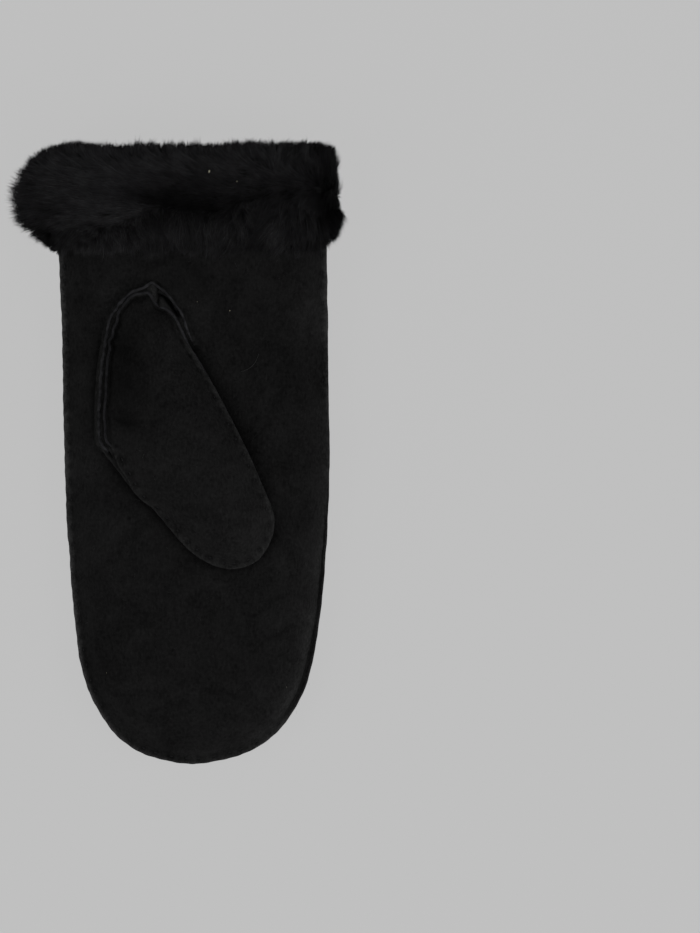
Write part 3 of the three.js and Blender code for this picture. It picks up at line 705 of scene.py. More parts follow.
def thumb_front_grid(rows=280):
    halves = thumb_sides(rows)
    spine = thumb_spine(halves[0][0], halves[1][0])
    sides = [
        thumb_front_side(edge, run, spine, end, ease)
        for (edge, run), end, ease in zip(halves, BASE_SEAM, (0.03, 0.08))
    ]
    grid, pull, inward, from_edge, holes, along, base = (both_sides(a, b) for a, b in zip(*sides))
    press = pull + smooth(inward, 4, 12) * (0.5 * soft_noise(grid, 19, 31) + 0.25 * soft_noise(grid, 8, 33))
    share = np.linspace(0, 1, rows + 1)[:, None]
    on_right = (np.arange(grid.shape[1]) >= (grid.shape[1] + 1) // 2)[None]
    end = np.where(on_right, BASE_SEAM[1], BASE_SEAM[0])
    # beside its raw edge the seam draws the skin in
    drawn_in = np.maximum(base, on_right * (1 - smooth(share, 0.4, 0.55)))
    drawn_in = drawn_in * (0.8 + 0.4 * soft_noise(grid, 4, 37))
    drawn_in *= bell(from_edge - 2.1 - 1.1 * smooth(grid[..., 0], -6, -2), 0.85)
    press -= 0.45 * drawn_in
    full = 1 - 0.1 * (1 - smooth(share, end - 0.08, end)) * smooth(6 - inward, 0, 4)
    return grid + normals_of(grid) * press[..., None], inward, full, from_edge, holes, along, base, drawn_in


def thumb_back_grid(rows=110):
    halves = thumb_sides(rows, UNDERSIDE)
    spine = thumb_spine(halves[0][0], halves[1][0])
    sides = []
    for edge, run in halves:
        reach = to_spine(edge, spine)
        flange = np.linspace(0, THUMB_FLANGE, 5)[:-1] + 0 * reach
        inward = np.hstack([flange, THUMB_FLANGE + (np.linspace(0, 1, 16) ** 1.4) * (reach - THUMB_FLANGE)])
        swell = -smooth(inward, THUMB_FLANGE - 0.2, THUMB_FLANGE + 5)
        points = half_panel(edge, spine, (inward, -THUMB_LEVEL, swell), thumb_seam_z, thumb_depth)
        scallop(points, edge, spine, run, moved=(0.07, 0.16), size=8, seed=19,
                share=smooth(THUMB_FLANGE - inward, 0, 2))
        # next to the base seam it goes down into the palm's hole
        joined = (1 - smooth(np.linspace(0, 1, rows + 1), 0, 0.13))[:, None] * smooth(inward, 0.3, 3)
        points[..., 2] += joined * (palm_top(points[..., 0], points[..., 1]) - 1.2 - points[..., 2])
        sides.append((points, inward))
    return [both_sides(a, b) for a, b in zip(*sides)]


front_grid, front_in, front_full, from_edge, front_holes, front_run, front_base, drawn_in = thumb_front_grid()
# its flange's stitches stop a little short of the base seam
front_ends = front_run[0, 0] * (1 - BASE_SEAM[0]) - 4, front_run[0, -1] * (1 - BASE_SEAM[1]) - 2
hollow, crease = thumb_crease(front_grid[..., 0], front_grid[..., 1])
thumb_front = leather(
    "thumb_front_suede", front_grid, full=front_full,
    free=smooth(front_in, 6, 12) + 0.6 * (1 - front_base) * bell(from_edge - THUMB_FLANGE - 0.6, 1.2),
    # painted shade in the needle holes' pits
    brushed=brushed(front_grid, from_edge + 9 * front_base, 0.7) - 0.9 * front_holes
    + 0.35 * bell(from_edge - 0.9) * smooth(front_grid[..., 0], -6, -2)
    # the turned-up raw edge is mottled, and painted shade lies in the groove where the seam draws the skin in
    + 0.4 * front_base * (from_edge < 1.2) * soft_noise(front_grid, 2.6, 39) - 0.5 * drawn_in
    # painted shade in the crease, and painted light along the flange
    - 0.13 * hollow - 0.3 * crease
    + 0.3 * (1 - front_base) * bell(from_edge - 1.6, 2.4),
)
thumb_under, under_in = thumb_back_grid()
thumb_back = leather("thumb_back_suede", thumb_under, brushed=brushed(thumb_under, under_in, 0.9))
for piece, node in ((thumb_front, "thumb_front"), (thumb_back, "thumb_back")):
    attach(piece, "root")
    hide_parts(node)


# 4. Lip of the thumb hole
# The palm's own edge round the thumb's base is turned up and sewn to the thumb's, both raw edges on top.
WELL_ABOVE = 0.1  # m


def surface_under(pieces, places, otherwise):
    """The height of the topmost of some pieces at places seen from above, or other heights beside them."""
    trees = [BVHTree.FromObject(piece, bpy.context.evaluated_depsgraph_get()) for piece in pieces]
    heights = []
    for x, y, height in zip(places[..., 0].flat, places[..., 1].flat, np.asarray(otherwise).flat):
        start = Vector((x * MM, y * MM, WELL_ABOVE))
        hits = [tree.ray_cast(start, Vector((0, 0, -1)))[0] for tree in trees]
        heights.append(max((hit.z / MM for hit in hits if hit), default=height))
    return np.reshape(heights, places.shape[:-1])


def lip_line(line, count):
    """Even points along a raw edge, its direction inwards, and the share of its length."""
    points, _ = evenly(flowing_line(line, steps=12), count)
    ahead = evened(np.gradient(points, axis=0), 12)
    ahead /= np.linalg.norm(ahead, axis=1, keepdims=True)
    return points, np.column_stack([ahead[:, 1], -ahead[:, 0]]), np.linspace(0, 1, count + 1)[:, None]


def thumb_lip_z(points, inward, gap):
    """The height of the thumb's raised edge across the gap from points on the palm's."""
    beside = points + inward * gap
    return thumb_seam_z(beside[:, :1], beside[:, 1:]) + LIP_HEIGHT - THUMB_REST - 0.5


def hole_lip_grid():
    """The palm's turned-up edge, as high as the thumb's beside it, the width of the gap between them, how
    much of its thickness is left, and the dark at its foot."""
    points, inward, share = lip_line(PALM_LIP, LIP_STEPS)
    gap = reach_to(flowing_line(THUMB_LIP, steps=12), points, points + inward)[:, None]
    gap = evened(np.clip(np.where(gap == 0, 2.0, gap), 0.5, 5.5), 10)
    offset = np.array([-5.0, -3.9, -3.0, -2.3, -1.7, -1.3, -0.9, -0.6, -0.3, -0.1, 0.0])[None]
    rise = np.array([-0.06, -0.06, -0.05, 0.0, 0.08, 0.18, 0.34, 0.54, 0.76, 0.9, 1.0])[None]
    wander = 0.32 * soft_noise(np.column_stack([points, 0 * share]), 2.4, 97)[:, None]
    place = points[:, None] + inward[:, None] * (offset + wander * rise)[..., None]
    skin = surface_under([palm], place, palm_top(place[..., 0], place[..., 1])) - 0.45
    ends = smooth(share, -0.01, 0.05) * (1 - 0.8 * smooth(share, 0.93, 1))
    grid = np.dstack([place, skin + (thumb_lip_z(points, inward, gap) - skin) * rise * ends])
    grid[..., 2] += rise**2 * lip_wave(grid[:, -1:], 27)
    full = 0.84 + 0.2 * soft_noise(grid, 3.5, 99) - 0.2 * smooth(grid[..., 0], -10, 0)
    full = np.clip(full, 0.4, 1) * (0.32 + 0.68 * smooth(offset, -2.8, -0.4))
    return grid, gap, full, 0.22 * bell(offset + 2.3, 1.2) + 0 * full


def between_lips_grid(lip_top, gap):
    """The skins pressed together by the seam, just under the raw edges. They stand apart near the top, to
    the right, where one looks into the thumb."""
    points, inward, share = lip_line(PALM_LIP, LIP_STEPS)
    points = points + 2.2 * (1 - smooth(share, 0, 0.03)) * np.column_stack([inward[:, 1], -inward[:, 0]])
    apart = smooth(points[:, :1], -9, -7) * (1 - smooth(points[:, :1], -0.5, 2))
    across = np.linspace(0.1, 1, 13)[None]
    width = gap + 0.8 + 2.4 * (1 - smooth(share, 0.02, 0.07))
    place = points[:, None] + inward[:, None] * (across * width)[..., None]
    deep = apart * (1 - smooth(across * gap, 1.9, 2.5))
    height = lip_top[:, None] + (thumb_lip_z(points, inward, gap) - lip_top[:, None]) * (share < 0.2)
    grid = np.dstack([place, height - 0.45 - 5.0 * deep])
    grid[..., 2] += 0.2 * soft_noise(grid, 2.5, 91) + 0.3 * soft_noise(grid, 7, 93)
    # a groove runs down between the skins at the knot
    from_groove = grid[..., 0] + 9.2 - 0.28 * (grid[..., 1] - 66)
    grid[..., 2] -= 0.9 * (grid[..., 1] > 60) * bell(from_groove, 0.6)
    return grid


lip_grid, lip_gap, lip_full, lip_shade = hole_lip_grid()
lip = leather("thumb_hole_lip", lip_grid, thickness=1.6, full=lip_full,
              brushed=brushed(lip_grid) + 0.8 * soft_noise(lip_grid, 2.0, 95) + 0.25 - lip_shade)
pressed_grid = between_lips_grid(lip_grid[:, -1, 2], lip_gap)
knot_x = pressed_grid[..., 0]
# painted shade: the skins between the lips are darker, darkest in the groove at the knot, and lighter at the
# knot on either side of the groove
knot = 1.1 * bell(knot_x + 11.5, 1.6) - 0.8 * bell(knot_x + 9.3, 0.7) + 0.5 * bell(knot_x + 5.5, 3.2)
pressed = leather("base_seam_inside", pressed_grid, thickness=0.5,
                  brushed=brushed(pressed_grid) - 0.2 + knot * (pressed_grid[..., 1] > 58))
for piece in (lip, pressed):
    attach(piece, "root")


# 5. Stitches
# Running stitches of black waxed thread, about 7 mm apart, through both skins just inside the raw edge. Each
# one is sunk into the skin at its two ends.
STITCH_LENGTH, STITCH_RADIUS = 2.4, 0.38
STITCH_LIFT = 0.12


def thread_material():
    material, tree, shader = new_material("waxed_thread")
    strands = grain_noise(tree, 2600)
    fill(tree, shader, {
        "Base Color": between(tree, (0.0025, 0.0025, 0.0028), (0.0065, 0.0065, 0.0072), strands),
        "Roughness": between(tree, 0.45, 0.65, strands),
        "Normal": relief(tree, strands, 0.6, 0.0001),
        "Specular IOR Level": 0.1,
    })
    return material


THREAD = thread_material()


def one_stitch():
    """A stitch along X, bowed up in the middle and sunk at its ends."""
    verts = []
    rings, sides = 9, 7
    for i in range(rings):
        t = i / (rings - 1)
        radius = STITCH_RADIUS * (math.sin(math.pi * (0.08 + 0.84 * t)) ** 0.4)
        bow = 0.55 * math.sin(math.pi * t) - 0.75
        for k in range(sides):
            turn = 2 * math.pi * k / sides
            across, up = radius * math.cos(turn), radius * math.sin(turn)
            verts.append((STITCH_LENGTH * (t - 0.5), across, bow + up))
    faces = grid_faces(rings, sides, ring=True)
    faces += [tuple(range(sides)), tuple(range((rings - 1) * sides, rings * sides))]
    return mesh_piece("one_stitch", verts, faces, [THREAD], merge=0.001)


def geometry_tree(name, given, made):
    """A tree with named inputs of their kinds and one output, and the results of its inputs."""
    tree = bpy.data.node_groups.new(name, "GeometryNodeTree")
    for title, kind in given.items():
        tree.interface.new_socket(title, in_out="INPUT", socket_type="NodeSocket" + kind)
    tree.interface.new_socket(made, in_out="OUTPUT", socket_type="NodeSocketGeometry")
    return tree, add_node(tree, "NodeGroupInput").outputs


def attribute(tree, name, kind="FLOAT"):
    node = add_node(tree, "GeometryNodeInputNamedAttribute", {"Name": name}, data_type=kind)
    return node.outputs["Attribute"]


def finish_tree(tree, copies, material):
    """Ends a tree with its copies made real and their material set."""
    plain = add_node(tree, "GeometryNodeRealizeInstances", {"Geometry": copies}).outputs[0]
    done = add_node(tree, "GeometryNodeSetMaterial", {"Geometry": plain, "Material": material}).outputs[0]
    add_node(tree, "NodeGroupOutput", {0: done})


def copies_tree():
    """Sets a copy of a shape on each place, along its attribute way, upright along up and scaled by size."""
    kinds = {"Places": "Geometry", "Shape": "Object", "Slant": "Float", "Finish": "Material"}
    tree, given = geometry_tree("copies_on_places", kinds, "Copies")
    limits = {"Seed": 4, "Min": (-1, -1, -0.2)}
    sway = add_node(tree, "FunctionNodeRandomValue", limits, data_type="FLOAT_VECTOR").outputs[0]
    ways = {0: attribute(tree, "way", "FLOAT_VECTOR"), 1: scaled_by(tree, sway, given["Slant"])}
    slanted = add_node(tree, "ShaderNodeVectorMath", ways).outputs[0]
    axes = {"Primary Axis": slanted, "Secondary Axis": attribute(tree, "up", "FLOAT_VECTOR")}
    turn = add_node(tree, "FunctionNodeAxesToRotation", axes, primary_axis="X", secondary_axis="Z")
    shape = add_node(tree, "GeometryNodeObjectInfo", {"Object": given["Shape"]})
    copies = add_node(tree, "GeometryNodeInstanceOnPoints", {
        "Points": given["Places"], "Instance": shape.outputs["Geometry"],
        "Rotation": turn.outputs[0], "Scale": attribute(tree, "size"),
    })
    finish_tree(tree, copies.outputs[0], given["Finish"])
    return tree


def dress(piece, tree, **values):
    """Runs a geometry tree on a piece and keeps the result as a plain mesh."""
    modifier = piece.modifiers.new(tree.name, "NODES")
    modifier.node_group = tree
    for item in tree.interface.items_tree:
        if item.in_out == "INPUT" and item.name in values:
            modifier[item.identifier] = values[item.name]
    return settle(piece)


COPIES, STITCH = copies_tree(), one_stitch()


def seam_places(grid, inward, run, ends=(np.inf, np.inf)):
    """Places of the stitches down both sides of a grid, as far as its seam goes on each side, and the
    directions of the seam there."""
    half = (grid.shape[1] + 1) // 2
    places, ways = [], []
    for columns, end in zip((slice(0, half), slice(grid.shape[1] - 1, half - 2, -1)), ends):
        line = np.array([
            [np.interp(STITCH_IN, depth, row[:, k]) for k in range(3)]
            for row, depth in zip(grid[:, columns], inward[:, columns])
        ])
        along = run[:, columns][:, 0]
        fine = np.linspace(0, along.max(), 4000)
        spots = np.interp(np.arange(0, stitch_count(fine[-1])) + 0.5, stitch_count(fine), fine)
        spots = spots[spots < min(end, along.max())]
        before, at, after = (
            np.column_stack([np.interp(spots + step, along[::-1], line[::-1, k]) for k in range(3)])
            for step in (-0.7, 0, 0.7)
        )
        places.append(at)
        ways.append(after - before)
    return np.vstack(places), np.vstack(ways)


def laid(name, places, shape, finish, slot, slant=0.2, **attributes):
    """A piece made of copies of a shape."""
    piece = mesh_piece(name, places, [], [])
    for key, values in attributes.items():
        vector = values.ndim == 2
        made = piece.data.attributes.new(key, "FLOAT_VECTOR" if vector else "FLOAT", "POINT")
        made.data.foreach_set("vector" if vector else "value", values.reshape(-1).astype(np.float32))
    dress(piece, COPIES, Shape=shape, Slant=slant, Finish=finish)
    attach(piece, "root")


def sewn(name, skin, places, ways, up):
    """A row of stitches laid on a skin."""
    if up > 0:
        places[:, 2] = surface_under([skin], places, places[:, 2]) + STITCH_LIFT
    else:
        places[:, 2] -= LEATHER / 2
    laid(name, places, STITCH, THREAD, "suede",
         way=ways, up=np.tile((0.0, 0.0, float(up)), (len(places), 1)), size=np.ones(len(places)))


palm_places, palm_ways = seam_places(palm_grid, palm_in, palm_run)
# where the seam hangs over, its stitches don't show on the palm's side
seen = (palm_places[:, 0] < 20) | (palm_places[:, 1] > 24) | (palm_places[:, 1] < -118)
sewn("palm_stitches", palm, palm_places[seen], palm_ways[seen], 1)
sewn("back_stitches", back, *seam_places(back_grid, back_in, back_run), -1)
sewn("thumb_stitches", thumb_front, *seam_places(front_grid, from_edge, front_run, front_ends), 1)
bpy.data.objects.remove(STITCH)


# 6. Lining
# The wool side of the same skins, sheared to about 6 mm. It fills the hand and shows only in the mouth.
FLEECE_CLEARANCE = 0.5
FLEECE_THICKNESS = 6.0
FLEECE_END_Y = 117.0
FLEECE_LEVEL = 0.21


def wool_group():
    """Curled wool. Shade goes from 0, deep between the curls, to 1, on their tips."""
    group = bpy.data.node_groups.new("wool_curls", "ShaderNodeTree")
    group.interface.new_socket("Shade", in_out="OUTPUT", socket_type="NodeSocketFloat")
    place = add_node(group, "ShaderNodeTexCoord").outputs["Object"]
    spots = {"Vector": place, "Scale": 1000 / 2.6}
    curls = add_node(group, "ShaderNodeTexVoronoi", spots, feature="SMOOTH_F1")
    strands = grain_noise(group, 1400, distort=2)
    raised = maths(group, "MULTIPLY_ADD", curls.outputs["Distance"], -0.7, strands)
    add_node(group, "NodeGroupOutput", {"Shade": maths(group, "ADD", raised, 0.3, clamp=True)})
    return group


WOOL = wool_group()


def wool_material(name, dark, light):
    material, tree, shader = new_material(name)
    curls = add_node(tree, "ShaderNodeGroup", node_tree=WOOL).outputs[0]
    fill(tree, shader, {
        "Base Color": between(tree, dark, light, curls),
        "Roughness": between(tree, 0.85, 0.95, curls),
        "Normal": relief(tree, curls, 0.9, 0.001),
        "Specular IOR Level": 0.05,
    })
    return material


FLEECE = wool_material("sheared_wool", (0.002, 0.002, 0.0022), (0.009, 0.009, 0.0095))


def fleece_grid(up, rise, rows=150):
    """The middle of one panel's wool, between its skin side and its tips."""
    halves = hand_sides(rows, FLEECE_END_Y)
    spine = hand_spine(halves[0][0], halves[1][0])
    inset = LEATHER + FLEECE_CLEARANCE + FLEECE_THICKNESS / 2
    sides = []
    for edge, _ in halves:
        inward = FLANGE + inset + np.linspace(0, 1, 26) ** 1.3 * (to_spine(edge, spine) - FLANGE - inset)
        swell = up * dome((inward - FLANGE - inset) / (SIDE_ROUNDING - inset / 2))
        profile = inward, up * FLEECE_LEVEL, swell
        sides.append(half_panel(edge, spine, profile, seam_z, lambda x, y: rise(x, y) + LEATHER - inset))
    return both_sides(*sides)


in_wool_hole = inside(seam_line + 9 * seam_inward)
for name, up, rise, node in (
    ("palm_wool", 1, palm_rise, "palm_fleece"),
    ("back_wool", -1, back_rise, "back_fleece"),
):
    grid = fleece_grid(up, rise)
    places, faces = grid.reshape(-1, 3), grid_faces(*grid.shape[:2])
    if up > 0:
        faces = [face for face in faces if not in_wool_hole(places[list(face)].mean(axis=0))]
    wool = mesh_piece(name, places, faces, [FLEECE], merge=0.02)
    pile = wool.modifiers.new("pile", "SOLIDIFY")
    pile.thickness = (FLEECE_THICKNESS - 1.2) * MM
    pile.offset = 0
    settle(wool)
    # the curls stand out by different amounts
    curls, normals = vertex_values(wool.data) / MM, vertex_values(wool.data, "normal")
    lift = 0.45 * soft_noise(curls, 3.0, 41) + 0.2 * soft_noise(curls, 1.6, 43)
    curls += normals * lift[:, None]
    wool.data.vertices.foreach_set("co", (curls * MM).ravel())
    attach(wool, "root")
    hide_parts(node)


# 7. Cuff
# The end of the skin is turned back with its long wool outside, and the wool is combed out over the fold. The
# turned skin makes the ring, grooved where the wool parts, and locks of hair are rooted all over it.
CUFF_MIDDLE = (5.3, SEAM_HEIGHT + CUFF_LIFT)
CONTOURS = {  # half width, length of the curved sides, their curve, height above and below the seam
    "outer": (59.3, 30.4, 0.87, 20.1, 13.3),
    "inner": (54.0, 26.0, 1.65, 16.9, 10.9),
}
CUFF_THICKNESS = {"left": 17.8, "right": 9.0, "up": 8.6, "down": 9.0}
CUFF_SECTION = [  # y, contour, distance out from it, and the share of the wool's thickness there
    (89.5, "outer", 0, 0.26), (91, "outer", 0, 0.46), (97, "outer", 0, 0.72),
    (105, "outer", 0, 0.95), (113, "outer", 0, 1), (121, "outer", 0, 0.92), (127, "outer", 0, 0.72),
    (130.3, "outer", 0, 0.38), (131.6, "outer", -2, 0.02), (130.6, "inner", -2, 0), (128.5, "inner", -4, 0),
    (124, "inner", -4.6, 0), (117.3, "inner", -4.6, 0),
]
SKIN_SHARE = 0.42  # how much of the wool's thickness the turned skin takes up
PARTING = [  # x and y of the dark parting across the palm side
    (-80, 97.5), (-50, 97.8), (-36, 98), (-30, 98.3), (-25, 99.5), (-19, 102.2), (-13, 105.5), (-3, 107),
    (5, 105.8), (11, 104.5), (17, 104.2), (24, 106.5), (35, 111), (48, 110), (58, 106), (66, 106),
    (80, 106),
]
# The shares of a seam-to-seam half of a contour that a curved side and half of the flat middle take up
ROUNDED, FLAT = 0.28, 0.22
LOWEST_ROOT, LOWEST_HAIR = 1.2, 0.1  # over the floor


def contour_point(name, turn):
    """Places on a contour, turn of the way round from the left seam over the top, z from the seam."""
    half, rounding, curve, up, down = CONTOURS[name]
    turn = turn % 1
    below = turn > 0.5
    across = np.where(below, 2 - 2 * turn, 2 * turn)
    from_seam = np.minimum(across, 1 - across)
    angle = np.minimum(from_seam / ROUNDED, 1) * np.pi / 2
    inward = rounding * (1 - np.cos(angle) ** curve)
    inward = inward + np.maximum(from_seam - ROUNDED, 0) / FLAT * (half - rounding)
    height = np.sin(angle) * np.where(below, -down, up)
    return np.stack([np.where(across < 0.5, -1, 1) * (half - inward), height], -1)


def cuff_point(turn, y, name, off, share):
    """Places on the cuff and its directions outwards, across the mitten."""
    at = contour_point(name, turn)
    run = contour_point(name, turn + 0.012) - contour_point(name, turn - 0.012)
    run /= np.linalg.norm(run, axis=-1, keepdims=True)
    out = np.stack([-run[..., 1], run[..., 0]], -1)
    left = CUFF_THICKNESS["left"] * (1 - 0.14 * smooth(y, 116, 130) - 0.33 * smooth(-y, -104, -90))
    sideways = np.where(out[..., 0] < 0, left, CUFF_THICKNESS["right"])
    upright = np.where(out[..., 1] < 0, CUFF_THICKNESS["down"], CUFF_THICKNESS["up"])
    thick = sideways * out[..., 0] ** 2 + upright * out[..., 1] ** 2
    at = at + out * (off + share * thick)[..., None]
    return np.stack([CUFF_MIDDLE[0] + at[..., 0], y + 0 * at[..., 0], CUFF_MIDDLE[1] + at[..., 1]], -1)


def parting_y(x):
    return np.interp(x, *as_columns(PARTING))


def parting_depth(points):
    """How deep the wool's parting is pressed in, 0 to 1."""
    x, y, z = np.moveaxis(points, -1, 0)
    return bell(y - parting_y(x), 4.5) * smooth(z, 22, 34) * (1 - 0.7 * smooth(x, 24, 40))


def all_round(count):
    return np.linspace(0, 1, count, endpoint=False)[:, None]


def cuff_grid(turns, spans):
    """The skin's outside from its lower edge over the fold into the mouth, a row for each turn, where it is
    outside rather than in the mouth, and the room there for the wool."""
    rows = np.array([(y, name == "outer", off, share) for y, name, off, share in CUFF_SECTION], float)
    steps = np.diff(rows[:, [0, 2]] + rows[:, 3:] * (0, 9), axis=0)
    run = np.concatenate([[0], np.cumsum(np.linalg.norm(steps, axis=1))])
    at = np.linspace(0, run[-1], spans)
    y, outer, off, share = (np.interp(at, run, rows[:, k]) for k in range(4))
    turn = all_round(turns)
    skin_share = SKIN_SHARE + 0.2 * smooth(np.cos(2 * np.pi * turn), 0.5, 0.9)
    outside = cuff_point(turn, y, "outer", off, share * skin_share)
    in_mouth = cuff_point(turn, y, "inner", off, 0 * share)
    grid = outside * outer[:, None] + in_mouth * (1 - outer[:, None])
    full = cuff_point(turn, y, "outer", off, share)
    room = np.linalg.norm(full - outside, axis=-1) * outer + 1.5 * (1 - outer)
    return grid, outer, room


def ring_normals(points):
    """Unit normals of a grid whose last row joins its first, pointing out of the cuff."""
    around = np.roll(points, -1, axis=0) - np.roll(points, 1, axis=0)
    normal = np.cross(around, np.gradient(points, axis=1))
    return normal / np.maximum(np.linalg.norm(normal, axis=2, keepdims=True), 1e-9)


def ring_faces(turns, spans, closed):
    """Faces of a grid whose last row joins its first, as its last column does too where it is closed."""
    return [
        (i * spans + j, (i + 1) % turns * spans + j,
         (i + 1) % turns * spans + (j + 1) % spans, i * spans + (j + 1) % spans)
        for i in range(turns)
        for j in range(spans if closed else spans - 1)
    ]


# How far the cuff's upper edge waves up or down, by x
UPPER_EDGE = [(-62, 0), (-48, 0.9), (-28, -0.5), (5, -0.6), (32, 0.8), (58, 0.9), (65, 0), (73, -5.5)]


def cuff_drawn_up(points):
    """The cuff's edges aren't straight: its lower one runs up at the right, its upper one waves a little."""
    x, y = points[..., 0], points[..., 1]
    lower = 7.5 * smooth(x, 54, 72) * (1 - smooth(y, 92, 112))
    lower = lower + 1.6 * soft_noise(points, 7, 63) * (1 - smooth(y, 91, 98))
    upper = np.interp(x, *as_columns(UPPER_EDGE)) * smooth(y, 114, 130)
    return points + np.stack([0 * x, lower + upper, 0 * x], -1)


cuff_roots, on_outside, wool_room = cuff_grid(turns=300, spans=56)
root_normals = ring_normals(cuff_roots)
groove = parting_depth(cuff_roots)
cuff_roots = cuff_roots + root_normals * (1.1 * soft_noise(cuff_roots, 17, 61) - 2.8 * groove)[..., None]
cuff_roots[..., 2] = np.maximum(cuff_roots[..., 2], LOWEST_ROOT)

# the wool on the turned skin is darker than the lining's, as painted shade deep among the hairs
WOOL_SKIN = wool_material("turned_skin_wool", (0.0015, 0.0015, 0.0016), (0.005, 0.005, 0.0053))
around = all_round(len(cuff_roots))
inner_wall = cuff_point(around, np.array([117.3, 126.4]), "inner", 0.0, 0.0)
outer_wall = cuff_point(around, np.array([126.4, 92.5]), "outer", 0.0, 0.0)
ring = cuff_drawn_up(np.concatenate([cuff_roots, inner_wall, outer_wall], axis=1))
turned_skin = mesh_piece("cuff_turned_skin", ring.reshape(-1, 3), ring_faces(*ring.shape[:2], True),
                         [WOOL_SKIN], merge=0.01)
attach(turned_skin, "root")
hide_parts("fur_cuff")

# The way the wool is combed on the palm side, over the parting and under it: x, y, direction in degrees from
# the right, and how much it stands
COMBED_ROLL = [
    (-53, 126, 150, 0.6), (-53, 111, 180, 0.45), (-58, 100, 200, 0.45), (-36, 133, 110, 0.6),
    (-31, 122, 178, 0.3), (-31, 109, 183, 0.3), (-22, 102, 190, 0.35), (-14, 133, 95, 0.6),
    (-9, 122, 175, 0.3), (8, 133, 90, 0.6), (11, 122, 172, 0.3), (8, 115, 188, 0.3), (28, 124, 150, 0.4),
    (29, 113, 205, 0.35), (34, 132, 90, 0.6), (42, 124, 140, 0.4), (36, 118, 165, 0.4), (44, 112, 215, 0.4),
    (52, 126, 120, 0.45), (61, 120, 110, 0.5), (56, 111, 235, 0.5), (66, 131, 80, 0.6), (68, 118, 120, 0.5),
    (66, 108, 260, 0.5),
]
COMBED_SKIRT = [
    (-62, 95, 230, 0.45), (-49, 93, 255, 0.4), (-40, 93, 265, 0.4), (-27, 93, 285, 0.4),
    (-16, 95, 305, 0.35), (-9, 104, 260, 0.4), (-5, 100, 275, 0.35), (8, 104, 295, 0.35),
    (19, 100, 265, 0.35), (26, 104, 270, 0.35), (35, 95, 250, 0.35), (44, 93, 235, 0.35),
    (52, 98, 280, 0.4), (59, 94, 255, 0.4), (66, 100, 310, 0.45),
]


def from_anchors(anchors, points, softness):
    """The values of anchors at x, y for each point, the nearest ones counting most."""
    x, y, *values = as_columns(anchors)
    weight = 1 / (np.hypot(points[..., :1] - x, points[..., 1:2] - y) + softness) ** 3
    weight /= weight.sum(axis=-1, keepdims=True)
    return [(weight * value).sum(-1) for value in values]


def combed_by(anchors, points):
    turn, stand = from_anchors(anchors, points, 3)
    turn = np.radians(turn)
    return np.stack([np.cos(turn), np.sin(turn)], -1), stand


def comb(points, normals):
    """The direction of the hairs at each root as a direction along the skin, a reach and a height in mm."""
    x, y, _ = np.moveaxis(points, -1, 0)
    (roll, roll_stand), (skirt, skirt_stand) = combed_by(COMBED_ROLL, points), combed_by(COMBED_SKIRT, points)
    below = smooth(parting_y(x) - y, -1.5, 1.5)
    top = roll * (1 - below[..., None]) + skirt * below[..., None]
    at_rim = smooth(y, 126, 132)[..., None]
    top = top * (1 - at_rim) + at_rim * (0, 1)
    lift = roll_stand * (1 - below) + skirt_stand * below
    under = np.stack([-0.35 + 0 * lift, np.where(y < 112, -0.6, 0.7)], -1)
    facing = smooth(normals[..., 2], -0.5, 0.2)
    plan = top * facing[..., None] + under * (1 - facing[..., None])
    messy = 0.65 + 1.2 * smooth(x, 8, 40) + 0.7 * below
    swirl = messy * (0.45 * soft_noise(points, 9, 71) + 0.5 * soft_noise(points, 4.0, 73))
    turned = np.stack([plan[..., 0] * np.cos(swirl) - plan[..., 1] * np.sin(swirl),
                       plan[..., 0] * np.sin(swirl) + plan[..., 1] * np.cos(swirl), -0.25 - 0.1 * facing], -1)
    way = turned + normals * (lift + 0.1 + 0.12 * soft_noise(points, 6, 75))[..., None]
    way /= np.linalg.norm(way, axis=-1, keepdims=True)
    height = np.clip((way * normals).sum(-1), 0.2, 0.95)
    tangent = way - normals * (way * normals).sum(-1, keepdims=True)
    reach = np.linalg.norm(tangent, axis=-1)
    # the wool is longest at the left end, and shorter in the parting and along both edges
    leftward = smooth(-normals[..., 0], 0.2, 0.9)
    bulging = leftward * bell(y - 110.5, 8.5)
    length = 8.5 + 3.8 * bulging - 3 * parting_depth(points)
    length *= 1 + (0.3 + 0.25 * below) * soft_noise(points, 7, 77)
    length -= 3 * leftward * smooth(-y, -99, -92)
    length -= 2.5 * smooth(-y, -98, -92) + 2.5 * smooth(y, 122, 130)
    length -= 2.6 * smooth(-x, 47, 57) * smooth(y, 120, 129)
    sideways = 3.4 * bulging + 1.8 * smooth(normals[..., 1], 0.3, 0.9) - 1.5 * leftward * at_rim[..., 0]
    raised = np.minimum(height * length, (wool_room + 1.0 + sideways) * (1 - 0.45 * parting_depth(points)))
    return tangent / np.maximum(reach, 1e-6)[..., None], np.maximum(reach, 0.25) * length, raised


